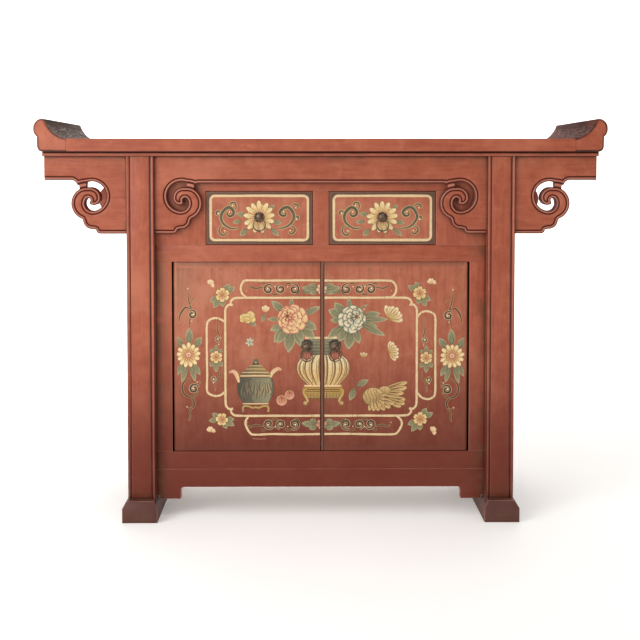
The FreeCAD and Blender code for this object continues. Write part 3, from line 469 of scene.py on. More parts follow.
class Workshop:
    """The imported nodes, and the helpers that turn meshes into pieces."""

    def __init__(self, frame: dict[str, Any]) -> None:
        """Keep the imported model.
        """
        self.nodes: dict[str, bpy.types.Object] = frame["nodes"]
        self.slots = {row["node"]: row["material_slot"] for row in frame["record"]["subparts"]}
        self.bodies = {node: body for body, nodes in frame["record"]["behaviour"]["bodies"].items() for node in nodes}

    def coat(self, node: str, finish: Any) -> None:
        """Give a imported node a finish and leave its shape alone.

        Args:
            node: Name of the node.
            finish: Its finish.
        """
        mesh = self.nodes[node].data
        mesh.materials.clear()
        mesh.materials.append(finish.material())
        LOG.info("finished %s", node)

    def piece(self, name: str, mesh: bpy.types.Mesh, finish: Any, node: str) -> bpy.types.Object:
        """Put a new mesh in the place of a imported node.

        Args:
            name: Name of the piece.
            mesh: Its mesh, in the table's frame.
            finish: Its finish.
            node: The node that it stands for.

        Returns:
            The new object.
        """
        item = new_object(name, mesh)
        mesh.materials.append(finish.material())
        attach(item, self.bodies[node])
        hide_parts(node)
        LOG.info("built %s", name)
        return item

    def eased(self, node: str, finish: Any, radius: float = 1.1 * MM, seam: float = -1.0,
              rims: Sequence[tuple[float, float]] = (), held: bool = True) -> bpy.types.Object:
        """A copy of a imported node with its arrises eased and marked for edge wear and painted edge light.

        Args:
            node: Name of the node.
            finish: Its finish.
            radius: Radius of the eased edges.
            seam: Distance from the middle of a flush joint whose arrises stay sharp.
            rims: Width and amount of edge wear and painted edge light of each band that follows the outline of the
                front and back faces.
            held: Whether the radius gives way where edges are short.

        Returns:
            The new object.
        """
        work = bmesh.new()
        work.from_mesh(self.nodes[node].data)
        bmesh.ops.remove_doubles(work, verts=work.verts, dist=WELD)
        bmesh.ops.dissolve_limit(work, angle_limit=FLAT_ANGLE, verts=work.verts, edges=work.edges)
        # Bevels and rim bands carry edge wear with painted edge light; narrow hollows carry painted groove shade.
        edge_wear_and_painted_light = work.faces.layers.float.new("edge_wear_and_painted_light")
        hollow = work.faces.layers.float.new("groove")
        for face in work.faces:
            length = max(edge.calc_length() for edge in face.edges)
            sunk = any(
                len(edge.link_faces) == 2 and not edge.is_convex and edge.calc_face_angle() > HOLLOW_ANGLE
                for edge in face.edges
            )
            if sunk and face.calc_area() < length * NARROW:
                face[hollow] = 1.0
        sharp = [
            edge
            for edge in work.edges
            if len(edge.link_faces) == 2 and edge.is_convex and edge.calc_face_angle() > ARRIS_ANGLE
            and any(abs(abs(vert.co.x) - seam) > 0.1 * MM for vert in edge.verts)
        ]
        made = bmesh.ops.bevel(
            work, geom=sharp, offset=radius, segments=2, profile=0.6, affect="EDGES", clamp_overlap=held
        )
        for face in made["faces"]:
            face[edge_wear_and_painted_light] = 1.0
        for width, wear in rims:
            for face in [face for face in work.faces if abs(face.normal.y) > 0.999 and face.calc_area() > LARGE]:
                for band in bmesh.ops.inset_individual(work, faces=[face], thickness=width)["faces"]:
                    if band is not face and abs(abs(band.calc_center_median().x) - seam) > width:
                        band[edge_wear_and_painted_light] = wear
        work.verts.index_update()
        work.faces.sort(key=face_order)
        mesh = bpy.data.meshes.new(f"{node}_wood")
        work.to_mesh(mesh)
        work.free()
        smooth_by_angle(mesh)
        return self.piece(f"{node}_wood", mesh, finish, node)


WELD = 1e-5
FLAT_ANGLE = math.radians(0.8)
ARRIS_ANGLE = math.radians(32)
SMOOTH_ANGLE = math.radians(34)
HOLLOW_ANGLE = math.radians(12)
NARROW = 3.2 * MM
LARGE = 600.0 * MM * MM


def face_order(face: bmesh.types.BMFace) -> int:
    """A number that sets the same order of faces in every run."""
    low, middle, high = sorted(vert.index for vert in face.verts)[:3]
    return (low * 10000 + middle) * 10000 + high


def smooth_by_angle(mesh: bpy.types.Mesh) -> None:
    """Shade a mesh smooth except at its arrises."""
    mesh.shade_smooth()
    mesh.set_sharp_from_angle(angle=SMOOTH_ANGLE)


def closed_mesh(mesh: bpy.types.Mesh, work: bmesh.types.BMesh) -> bpy.types.Mesh:
    """Put finished work into a mesh, with its faces outward, and free it.

    Args:
        mesh: The mesh.
        work: The work.

    Returns:
        The mesh.
    """
    bmesh.ops.recalc_face_normals(work, faces=work.faces)
    work.to_mesh(mesh)
    work.free()
    smooth_by_angle(mesh)
    return mesh


def arc_points(start: Point, through: Point, end: Point, pitch: float) -> list[Point]:
    """Points along an arc that passes three places.

    Args:
        start: Where it starts; this point is left out.
        through: A place on its way.
        end: Where it ends.
        pitch: Spacing of the points.

    Returns:
        The points, the end included.
    """
    (ax, ay), (bx, by), (cx, cy) = start, through, end
    twice = 2 * (ax * (by - cy) + bx * (cy - ay) + cx * (ay - by))
    a, b, c = ax * ax + ay * ay, bx * bx + by * by, cx * cx + cy * cy
    mx = (a * (by - cy) + b * (cy - ay) + c * (ay - by)) / twice
    my = (a * (cx - bx) + b * (ax - cx) + c * (bx - ax)) / twice
    radius = math.hypot(ax - mx, ay - my)
    first = math.atan2(ay - my, ax - mx)
    turn = math.tau if twice > 0 else -math.tau
    swept = (math.atan2(cy - my, cx - mx) - first) % turn
    count = max(3, round(abs(swept) * radius / pitch))
    angles = [first + swept * step / count for step in range(1, count + 1)]
    return [(mx + radius * math.cos(angle), my + radius * math.sin(angle)) for angle in angles]


def line_points(start: Point, end: Point, pitch: float) -> list[Point]:
    """Evenly spaced points along a straight line.

    Args:
        start: Where it starts; this point is left out.
        end: Where it ends.
        pitch: Spacing of the points.

    Returns:
        The points, the end included.
    """
    count = max(1, round(math.dist(start, end) / pitch))
    shares = [step / count for step in range(1, count + 1)]
    return [(start[0] + (end[0] - start[0]) * t, start[1] + (end[1] - start[1]) * t) for t in shares]


def trace(start: Point, steps: Iterable[tuple[Point, ...]], pitch: float) -> list[Point]:
    """Follow lines and three-point arcs.

    Args:
        start: Where the path starts.
        steps: An end point for a line, or a passing point and an end point for an arc.
        pitch: Spacing of the points.

    Returns:
        Points of the whole path.
    """
    path = [start]
    for step in steps:
        if len(step) == 1:
            path += line_points(path[-1], step[0], pitch)
        else:
            path += arc_points(path[-1], step[0], step[1], pitch)
    return path


def inside(points: np.ndarray, loop: Sequence[Point]) -> np.ndarray:
    """Tell which points lie inside a closed outline.

    Args:
        points: The points, one in each row.
        loop: Corners of the outline.

    Returns:
        A truth value for each point.
    """
    corners = np.array(loop)
    x, y = points[:, 0][:, None], points[:, 1][:, None]
    x1, y1 = corners[:, 0], corners[:, 1]
    x2, y2 = np.roll(x1, -1), np.roll(y1, -1)
    crosses = (y1 > y) != (y2 > y)
    with np.errstate(divide="ignore", invalid="ignore"):
        meets = x < (x2 - x1) * (y - y1) / (y2 - y1) + x1
    return np.count_nonzero(crosses & meets, axis=1) % 2 == 1


def distance_to(points: np.ndarray, paths: Sequence[Sequence[Point]]) -> np.ndarray:
    """Distance from points to the nearest of some open paths.

    Args:
        points: The points, one in each row.
        paths: The paths.

    Returns:
        A distance for each point.
    """
    best = np.full(len(points), np.inf)
    for path in paths:
        starts, ends = np.array(path[:-1]), np.array(path[1:])
        along = ends - starts
        length = np.maximum((along**2).sum(1), 1e-12)
        for low in range(0, len(points), 2000):
            chunk = points[low : low + 2000]
            offset = chunk[:, None, :] - starts
            share = np.clip((offset * along).sum(2) / length, 0.0, 1.0)
            gap = np.linalg.norm(offset - share[:, :, None] * along, axis=2).min(1)
            best[low : low + 2000] = np.minimum(best[low : low + 2000], gap)
    return best


@dataclass
class Carving:
    """Cross-section of the bead that follows an edge: distance from it, depth, darkening as painted shade with some
    soiling, and handling wear with painted highlight.
    """

    # Column 2 darkens the outer edge and the groove as painted shade with some soiling; column 3 lightens the bead's
    # crown as wear with painted highlight.
    profile: tuple[tuple[float, float, float, float], ...] = (
        (0.0, 2.2, 1.0, 0.0), (1.2, 1.3, 1.0, 0.0), (2.1, 0.5, 0.95, 0.0), (2.8, 0.1, 0.2, 0.5),
        (3.4, 0.0, 0.0, 1.0), (4.9, 0.0, 0.0, 1.0), (5.6, 0.35, 0.2, 0.5), (6.2, 1.2, 0.95, 0.0),
        (7.2, 2.3, 1.0, 0.0), (8.3, 1.5, 1.0, 0.0), (9.1, 0.4, 0.4, 0.0), (10.0, 0.0, 0.0, 0.0),
    )

    def read(self, gaps: np.ndarray, column: int) -> np.ndarray:
        """Depth (column 1), darkening (2) or handling wear and highlight (3) at some distances from the edge."""
        return np.interp(gaps, [row[0] for row in self.profile], [row[column] for row in self.profile])


@dataclass
class CarvedBoard:
    """A flat board with a sawn outline and a bead carved along some lines."""

    loop: list[Point]
    holes: list[list[Point]]
    carved: list[list[Point]]
    thickness: float
    longest: float = 3.25
    field_pitch: float = 9.0
    carving: Carving = field(default_factory=Carving)

    def _contours(self) -> list[list[Point]]:
        """Lines at each step of the carving's section, kept clear of each other.

        Returns:
            Runs of points inside the board.
        """
        runs: list[list[Point]] = []
        outlines = [self.loop, *self.holes]
        for gap in [row[0] for row in self.carving.profile]:
            for path in self.carved:
                points = np.array(path)
                ahead = np.gradient(points, axis=0)
                ahead /= np.maximum(np.linalg.norm(ahead, axis=1), 1e-9)[:, None]
                for side in (-1.0, 1.0) if gap else (1.0,):
                    moved = points + side * gap * np.column_stack([-ahead[:, 1], ahead[:, 0]])
                    kept = self._within(moved) & (distance_to(moved, self.carved) >= gap * 0.985)
                    kept &= distance_to(moved, [outline + outline[:1] for outline in outlines]) > 0.2
                    cuts = np.flatnonzero(np.diff(kept)) + 1
                    parts = zip(np.split(moved, cuts), np.split(kept, cuts))
                    runs += [[(x, y) for x, y in part.tolist()] for part, good in parts if good[0]]
        return runs

    def _within(self, points: np.ndarray) -> np.ndarray:
        """Tell which points are in the board's wood."""
        return inside(points, self.loop) & ~np.any([inside(points, hole) for hole in self.holes], axis=0)

    def mesh(self, name: str, place: Callable[[Point, float], Place]) -> bpy.types.Mesh:
        """Build the board.

        Args:
            name: Name of the mesh.
            place: Turns a point of the outline and a depth below the face into a place.

        Returns:
            The mesh.
        """
        points: list[Point] = []
        edges: list[tuple[int, int]] = []
        for outline in [self.loop, *self.holes]:
            first = len(points)
            points += outline
            count = len(outline)
            edges += [(first + n, first + (n + 1) % count) for n in range(count)]
        sides = list(edges)
        rim = len(points)
        for run in self._contours():
            first = len(points)
            points += run
            for n in range(len(run) - 1):
                if math.dist(run[n], run[n + 1]) < self.longest:
                    edges.append((first + n, first + n + 1))
        points += self._fill_points()
        front, triangles = self._cut(points, edges)
        gaps = distance_to(front, self.carved)
        depths = self.carving.read(gaps, 1)
        back, back_triangles = self._cut(points[:rim], sides)
        places = [place((x, y), depth) for (x, y), depth in zip(front, depths)]
        places += [place((x, y), self.thickness) for x, y in back]
        offset = len(front)
        faces = [tuple(triangle) for triangle in triangles]
        faces += [tuple(offset + corner for corner in reversed(triangle)) for triangle in back_triangles]
        faces += [(start, offset + start, offset + end, end) for start, end in sides]
        mesh = bpy.data.meshes.new(name)
        mesh.from_pydata(places, [], faces)
        # The groove mark carries painted shade; the edge mark carries wear with painted highlight.
        for mark, column in (("groove", 2), ("edge_wear_and_painted_light", 3)):
            values = np.concatenate([self.carving.read(gaps, column), np.zeros(len(back))])
            mesh.attributes.new(mark, "FLOAT", "POINT").data.foreach_set("value", values.astype(np.float32))
        work = bmesh.new()
        work.from_mesh(mesh)
        return closed_mesh(mesh, work)

    def _fill_points(self) -> list[Point]:
        """Loose points over the plain field, so that its triangles stay even.

        Returns:
            The points.
        """
        corners = np.array(self.loop)
        low, high = corners.min(0), corners.max(0)
        across, up = (np.arange(low[axis] + self.field_pitch / 2, high[axis], self.field_pitch) for axis in (0, 1))
        grid = np.array([(x, y) for x in across for y in up])
        kept = self._within(grid) & (distance_to(grid, self.carved) > self.carving.profile[-1][0] + 2.0)
        kept &= distance_to(grid, [self.loop + self.loop[:1]]) > 3.0
        return [(x, y) for x, y in grid[kept].tolist()]

    def _cut(self, points: Sequence[Point], edges: Sequence[tuple[int, int]]) -> tuple[np.ndarray, list[list[int]]]:
        """Triangulate the board's wood.

        Args:
            points: All points, the outline first.
            edges: Edges that have to stay.

        Returns:
            The points and the triangles inside the wood.
        """
        made = geometry.delaunay_2d_cdt([Vector(point) for point in points], list(edges), [], 0, 1e-4, False)
        flat = np.array([(point.x, point.y) for point in made[0]])
        corners = np.array(made[2])
        middle = flat[corners].mean(1)
        kept = corners[self._within(middle)]
        spread = flat[kept]
        cross = np.cross(spread[:, 1] - spread[:, 0], spread[:, 2] - spread[:, 0])
        return flat, [list(row) for row, area in zip(kept.tolist(), cross) if abs(area) > 1e-9]


@dataclass
class Scroll:
    """Outline of the pierced scroll that ends a carved board, in millimetres from its eye.

    The plain arm ends at arm_end, its lower edge lies a step above the notch of the scroll, and the lowest edge
    ends at the root.
    """

    arm_end: float
    step: float
    root: float
    eye_radius: float = 33.5
    eye_lift: float = 83.0
    pitch: float = 1.3
    eye_drop: ClassVar[float] = 90.0
    eye_shares: ClassVar[tuple[tuple[Point, ...], ...]] = (
        ((-1.0, 0.0), (-0.167, -0.940)), ((0.415, -0.430), (0.310, -0.150)), ((0.180, -0.107), (0.066, -0.220)),
        ((0.110, -0.380),), ((0.110, -0.480), (0.030, -0.530)), ((-0.360, -0.520), (-0.625, -0.080)),
        ((-0.420, 0.420), (0.180, 0.627)), ((0.340, 0.625),), ((0.322, 0.947),),
    )
    curl_shares: ClassVar[tuple[tuple[Point, ...], ...]] = (
        ((1.343, 0.17), (0.627, 0.60)), ((0.567, 0.645),), ((0.418, 0.79), (-0.090, 0.873)), ((-0.284, 0.89),),
        ((-0.373, 0.964), (-0.567, 1.0)),
    )
    strut_shares: ClassVar[tuple[Point, ...]] = ((0.80, 0.76), (0.776, 0.52))
    bridge_shares: ClassVar[tuple[Point, ...]] = ((0.64, 0.915), (0.56, 0.60))
    notch_shares: ClassVar[Point] = (0.94, 0.79)
    ogee_shares: ClassVar[Point] = (0.40, 0.72)
    ogee_run_share: ClassVar[float] = 1.2

    def _scaled(self, shares: Sequence[Point]) -> tuple[Point, ...]:
        """Places given in shares of the eye's radius."""
        return tuple((out * self.eye_radius, up * self.eye_radius) for out, up in shares)

    def _eye_steps(self) -> list[tuple[Point, ...]]:
        """Lines and arcs round the winding hole."""
        return [self._scaled(step) for step in self.eye_shares]

    def eye(self) -> list[Point]:
        """Closed outline of the winding hole."""
        steps = self._eye_steps()
        return trace(steps[-1][-1], steps, self.pitch)[:-1]

    def _led(self, steps: Sequence[tuple[Point, ...]]) -> list[Point]:
        """The lower edge: the plain arm, some steps about the eye, and the curl that ends at the root.

        Args:
            steps: Lines and arcs from the notch to the curl.

        Returns:
            Points of the edge.
        """
        notch = self._scaled([self.notch_shares])[0]
        run = self.step * self.ogee_run_share
        arm = notch[1] + self.step
        ogee = (notch[0] + run * self.ogee_shares[0], notch[1] + self.step * self.ogee_shares[1])
        curl = [tuple((out * self.eye_radius, -down * self.eye_lift) for out, down in row) for row in self.curl_shares]
        steps = [((notch[0] + run, arm),), (ogee, notch), *steps, *curl, ((self.root, -self.eye_lift),)]
        return trace((self.arm_end, arm), steps, self.pitch)

    def edge(self) -> list[Point]:
        """The free lower edge, from the end of the plain arm to the root beside the post."""
        return self._led([(place,) for place in self._scaled(self.strut_shares)])

    def ridge(self) -> list[Point]:
        """The line that the bead follows: the free edge, led across the strut and round the winding hole."""
        upper, lower, below = self._scaled([*self.bridge_shares, self.strut_shares[-1]])
        *turns, last = self._eye_steps()
        return self._led([(upper, last[-1]), *turns, (lower, below)])


@dataclass
class ScrollWork:
    """The four pierced brackets and the front apron."""

    shop: Workshop
    post_face: float = 434.0
    wing_reach: float = 616.5
    wing_eye: float = 512.3
    wing_step: float = 10.535
    apron_half: float = 372.0
    apron_eye: float = 310.5
    apron_step: float = 3.035
    edge_pitch: float = 6.0

    def build(self) -> None:
        """Carve all the scroll boards."""
        for face_name, face in (("front", -1), ("back", 1)):
            for name, side in (("left", -1), ("right", 1)):
                self._bracket(f"{face_name}_{name}_bracket", side, face)
        self._apron()

    def _board(self, edge: list[Point], *tops: Point) -> list[Point]:
        """A free lower edge, closed over the top corners of its board."""
        corners = [edge[-1], *tops, edge[0]]
        return edge + [spot for pair in zip(corners, corners[1:]) for spot in line_points(*pair, self.edge_pitch)][:-1]

    def _bracket(self, node: str, side: int, face: int) -> None:
        """Carve one bracket.

        Args:
            node: The node that it stands for.
            side: -1 on the left and 1 on the right.
            face: -1 on the front and 1 on the back.
        """
        scroll = Scroll(self.wing_reach - self.wing_eye, self.wing_step, self.post_face - self.wing_eye)
        corners = (scroll.root, scroll.eye_drop), (scroll.arm_end, scroll.eye_drop)
        low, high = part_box(node)
        front = low[1] if face < 0 else high[1]
        top = high[2] / MM - scroll.eye_drop
        loop = self._board(scroll.edge(), *corners)
        board = CarvedBoard(loop, [scroll.eye()], [scroll.ridge()], (high[1] - low[1]) / MM)

        def place(point: Point, depth: float) -> Place:
            """Set a point of the bracket in the table's frame."""
            return (side * (self.wing_eye + point[0]) * MM, front - face * depth * MM, (top + point[1]) * MM)

        finish = GLUED_LACQUER if side < 0 else LACQUER_X
        self.shop.piece(f"{node}_carved", board.mesh(f"{node}_carved", place), finish, node)

    def _apron(self) -> None:
        """Carve the front apron, with a scroll at each end."""
        node = "front_apron"
        scroll = Scroll(self.apron_eye, self.apron_step, self.apron_eye - self.apron_half)
        corner = (self.apron_half, scroll.eye_drop)
        loop = self._board(self._both_ways(scroll.edge()), corner, (-corner[0], corner[1]))
        eyes = [[(side * (self.apron_eye - out), up) for out, up in scroll.eye()] for side in (1, -1)]
        low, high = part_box(node)
        board = CarvedBoard(loop, eyes, [self._both_ways(scroll.ridge())], (high[1] - low[1]) / MM)
        top, front = high[2] / MM - scroll.eye_drop, low[1]

        def place(point: Point, depth: float) -> Place:
            """Set a point of the apron in the table's frame."""
            return (point[0] * MM, front + depth * MM, (top + point[1]) * MM)

        self.shop.piece("front_apron_carved", board.mesh("front_apron_carved", place), LACQUER_X, node)

    def _both_ways(self, half: Sequence[Point]) -> list[Point]:
        """A line from one eye to the middle, mirrored into one whole line seen from the middle."""
        right = [(self.apron_eye - out, up) for out, up in half]
        return [(-x, up) for x, up in reversed(right)] + right[1:]


Placer = Callable[[float, float, float], Place]


def add_turned(work: bmesh.types.BMesh, profile: Sequence[Point], count: int, place: Placer,
               lobes: int = 0, lobe_depth: float = 0.0) -> None:
    """Add a closed turned shape to a mesh.

    Args:
        work: The mesh.
        profile: Radius and place along the axis, from one end to the other.
        count: Points round the axis.
        place: Puts a point across, up and along the axis in the table's frame.
        lobes: How many lobes its rim has.
        lobe_depth: Depth of the lobes as a share of the radius.
    """
    rows = []
    for radius, along in profile:
        turns = [math.tau * n / count for n in range(count)]
        rims = [(turn, radius * (1 - lobe_depth * (1 - abs(math.cos(lobes * turn / 2))))) for turn in turns]
        rows.append([work.verts.new(place(rim * math.cos(turn), rim * math.sin(turn), along)) for turn, rim in rims])
    skin(work, rows)
    work.faces.new(list(reversed(rows[0])))
    work.faces.new(rows[-1])


def add_ring(work: bmesh.types.BMesh, radius: float, wire: tuple[float, float], place: Placer) -> None:
    """Add a closed ring of wire to a mesh.

    Args:
        work: The mesh.
        radius: Radius of the wire's middle line.
        wire: Radius of the wire at the top and at the bottom.
        place: Puts a point across, up and in depth in the table's frame.
    """
    around, section = 48, 12
    rows = []
    for turn in (math.tau * n / around for n in range(around)):
        thick = wire[0] + (wire[1] - wire[0]) * (1 - math.sin(turn)) / 2
        row = []
        for angle in (math.tau * m / section for m in range(section)):
            reach = radius + thick * math.cos(angle)
            row.append(work.verts.new(place(reach * math.cos(turn), reach * math.sin(turn), thick * math.sin(angle))))
        rows.append(row)
    skin(work, [*rows, rows[0]])


def skin(work: bmesh.types.BMesh, rows: Sequence[Sequence[bmesh.types.BMVert]]) -> None:
    """Join closed rows of vertices with faces.

    Args:
        work: The mesh.
        rows: The rows, in order.
    """
    for before, after in zip(rows, rows[1:]):
        for n in range(len(before)):
            follow = (n + 1) % len(before)
            work.faces.new((before[n], before[follow], after[follow], after[n]))


@dataclass
class Pull:
    """A lobed brass plate held by a split pin, and the loose ring in the pin's eye."""

    shop: Workshop
    ring_radius: float = 13.6
    ring_wire: tuple[float, float] = (1.2, 1.4)
    ring_drop: float = 3.9
    eye_radius: float = 2.6
    eye_wire: float = 0.9
    pin_radius: float = 1.6
    plate_radius: ClassVar[float] = 12.0
    plate_profile: ClassVar[tuple[Point, ...]] = (
        (12.0, -0.05), (12.0, 0.5), (11.6, 1.0), (10.9, 1.25), (10.1, 1.15), (9.7, 1.0), (9.3, 1.35),
        (8.9, 2.3), (8.0, 3.4), (6.6, 4.5), (5.0, 5.3), (3.2, 5.85), (1.4, 6.15),
    )

    def build(self) -> None:
        """Make the four pulls."""
        for board in ("left_drawer_front", "right_drawer_front", "left_door_board", "right_door_board"):
            self._pull(board, board.rsplit("_", 1)[0])

    def _pull(self, board: str, owner: str) -> None:
        """Make one pull: a plate with its pin and eye, and the loose ring.

        Args:
            board: Node of the board that it is on.
            owner: Name of its drawer or door.
        """
        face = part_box(board)[0][1] / MM
        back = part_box(f"{owner}_pull_plate")[1][1] / MM
        low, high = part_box(f"{owner}_pull_ring")
        x, depth = (low[0] + high[0]) / 2 / MM, (low[1] + high[1]) / 2 / MM
        pivot = high[2] / MM - max(self.ring_wire)
        middle, hang = pivot + self.ring_drop, pivot - self.ring_radius
        work = bmesh.new()
        add_turned(work, self.plate_profile, 64, lambda u, v, w: ((x + u) * MM, (face - w) * MM, (middle + v) * MM),
                   8, 0.07)
        start, pin = depth + self.eye_radius, self.pin_radius
        profile = ((pin * 0.7, start - 0.2), (pin, start + 0.3), (pin, back - 0.4), (pin * 0.75, back))
        add_turned(work, profile, 20, lambda u, v, w: ((x + u) * MM, w * MM, (pivot + v) * MM))
        add_ring(work, self.eye_radius, (self.eye_wire,) * 2,
                 lambda u, v, w: ((x + w) * MM, (depth + u) * MM, (pivot + v) * MM))
        self._cast(f"{owner}_pull_plate", work)
        work = bmesh.new()
        add_ring(work, self.ring_radius, self.ring_wire,
                 lambda u, v, w: ((x + u) * MM, (depth + w) * MM, (hang + v) * MM))
        self._cast(f"{owner}_pull_ring", work)

    def _cast(self, node: str, work: bmesh.types.BMesh) -> None:
        """Put finished brass in its node's place."""
        name = f"{node}_brass"
        self.shop.piece(name, closed_mesh(bpy.data.meshes.new(name), work), BRASS, node)


def blended(first: Colour, second: Colour, share: float) -> Colour:
    """A colour between two others."""
    return tuple(a + (b - a) * share for a, b in zip(first, second))


class Pigment(tuple, Enum):
    """Colours of the painted ornament, full and linear."""

    CREAM = tint("EACB98")
    PALE = tint("F0DDB2")
    STRAW = tint("ECD091")
    BUTTER = tint("D9B67A")
    BLUSH = tint("DBA283")
    ROSE = tint("B4604A")
    WINE = tint("7E3328")
    LEAF = tint("7C7B56")
    SAGE = tint("B0A982")
    MOSS = tint("484A36")
    INK = tint("38312B")
    SLATE = tint("67614F")
    MIST = tint("A3AC99")
    GOLD = tint("BF9A46")
    OLIVE = tint("9F8552")
    UMBER = tint("6E5130")
    BARE_EDGE = tint("6C5546")
    MARGIN = tint("55473A")

    def thin(self, cover: float) -> Colour:
        """The colour thinned to some cover."""
        return (*self[:3], cover)

    def mixed(self, other: Colour, share: float) -> Colour:
        """The full colour with a share of another one stirred in."""
        return blended(self, other, share)


CREAM, PALE, STRAW, BUTTER, BLUSH, ROSE, WINE, LEAF, SAGE = list(Pigment)[:9]
MOSS, INK, SLATE, MIST, GOLD, OLIVE, UMBER, BARE_EDGE, MARGIN = list(Pigment)[9:]


LEAST_AREA = 0.05
NO_PAINT = (0.0, 0.0, 0.0, 0.0)
ROUND_PETAL = ((0.0, 0.12), (0.25, 0.62), (0.5, 0.94), (0.7, 1.0), (0.88, 0.78), (0.97, 0.42))
POINTED_PETAL = ((0.0, 0.1), (0.2, 0.62), (0.4, 0.96), (0.6, 0.98), (0.8, 0.68), (0.92, 0.34))


@dataclass(frozen=True)
class Dab:
    """One area of paint, shaded between two colours along a line."""

    outline: tuple[Point, ...]
    first: Colour
    second: Colour
    start: Point
    end: Point

    def touches(self, low: Point, high: Point) -> bool:
        """Whether the dab reaches a board with these corners."""
        return all(max(line) > low[n] and min(line) < high[n] for n, line in enumerate(zip(*self.outline)))

    def at(self, x: float, y: float) -> Colour:
        """Colour of the dab at a place.

        Args:
            x: Place across.
            y: Place up.

        Returns:
            The colour with its cover.
        """
        dx, dy = self.end[0] - self.start[0], self.end[1] - self.start[1]
        share = ((x - self.start[0]) * dx + (y - self.start[1]) * dy) / max(dx * dx + dy * dy, 1e-9)
        return blended(self.first, self.second, min(1.0, max(0.0, share)))


def smooth_path(path: Sequence[Point], pieces: int = 5) -> list[Point]:
    """A soft curve through some points.

    Args:
        path: The points.
        pieces: Points in each stretch.

    Returns:
        Points of the curve.
    """
    ends = [path[0], *path, path[-1]]
    result: list[Point] = []
    for before, start, end, after in zip(ends, ends[1:], ends[2:], ends[3:]):
        for t in (n / pieces for n in range(pieces)):
            result.append(tuple(
                0.5 * (2 * b + (c - a) * t + (2 * a - 5 * b + 4 * c - d) * t**2 + (3 * b - a - 3 * c + d) * t**3)
                for a, b, c, d in zip(before, start, end, after)
            ))
    return [*result, path[-1]]


def swelling(count: int, start: float, share: float) -> np.ndarray:
    """Thickness of a brush stroke at some points, from the start of a swell and over a share of it."""
    return np.array([math.sin(math.pi * (start + share * n / (count - 1))) for n in range(count)])


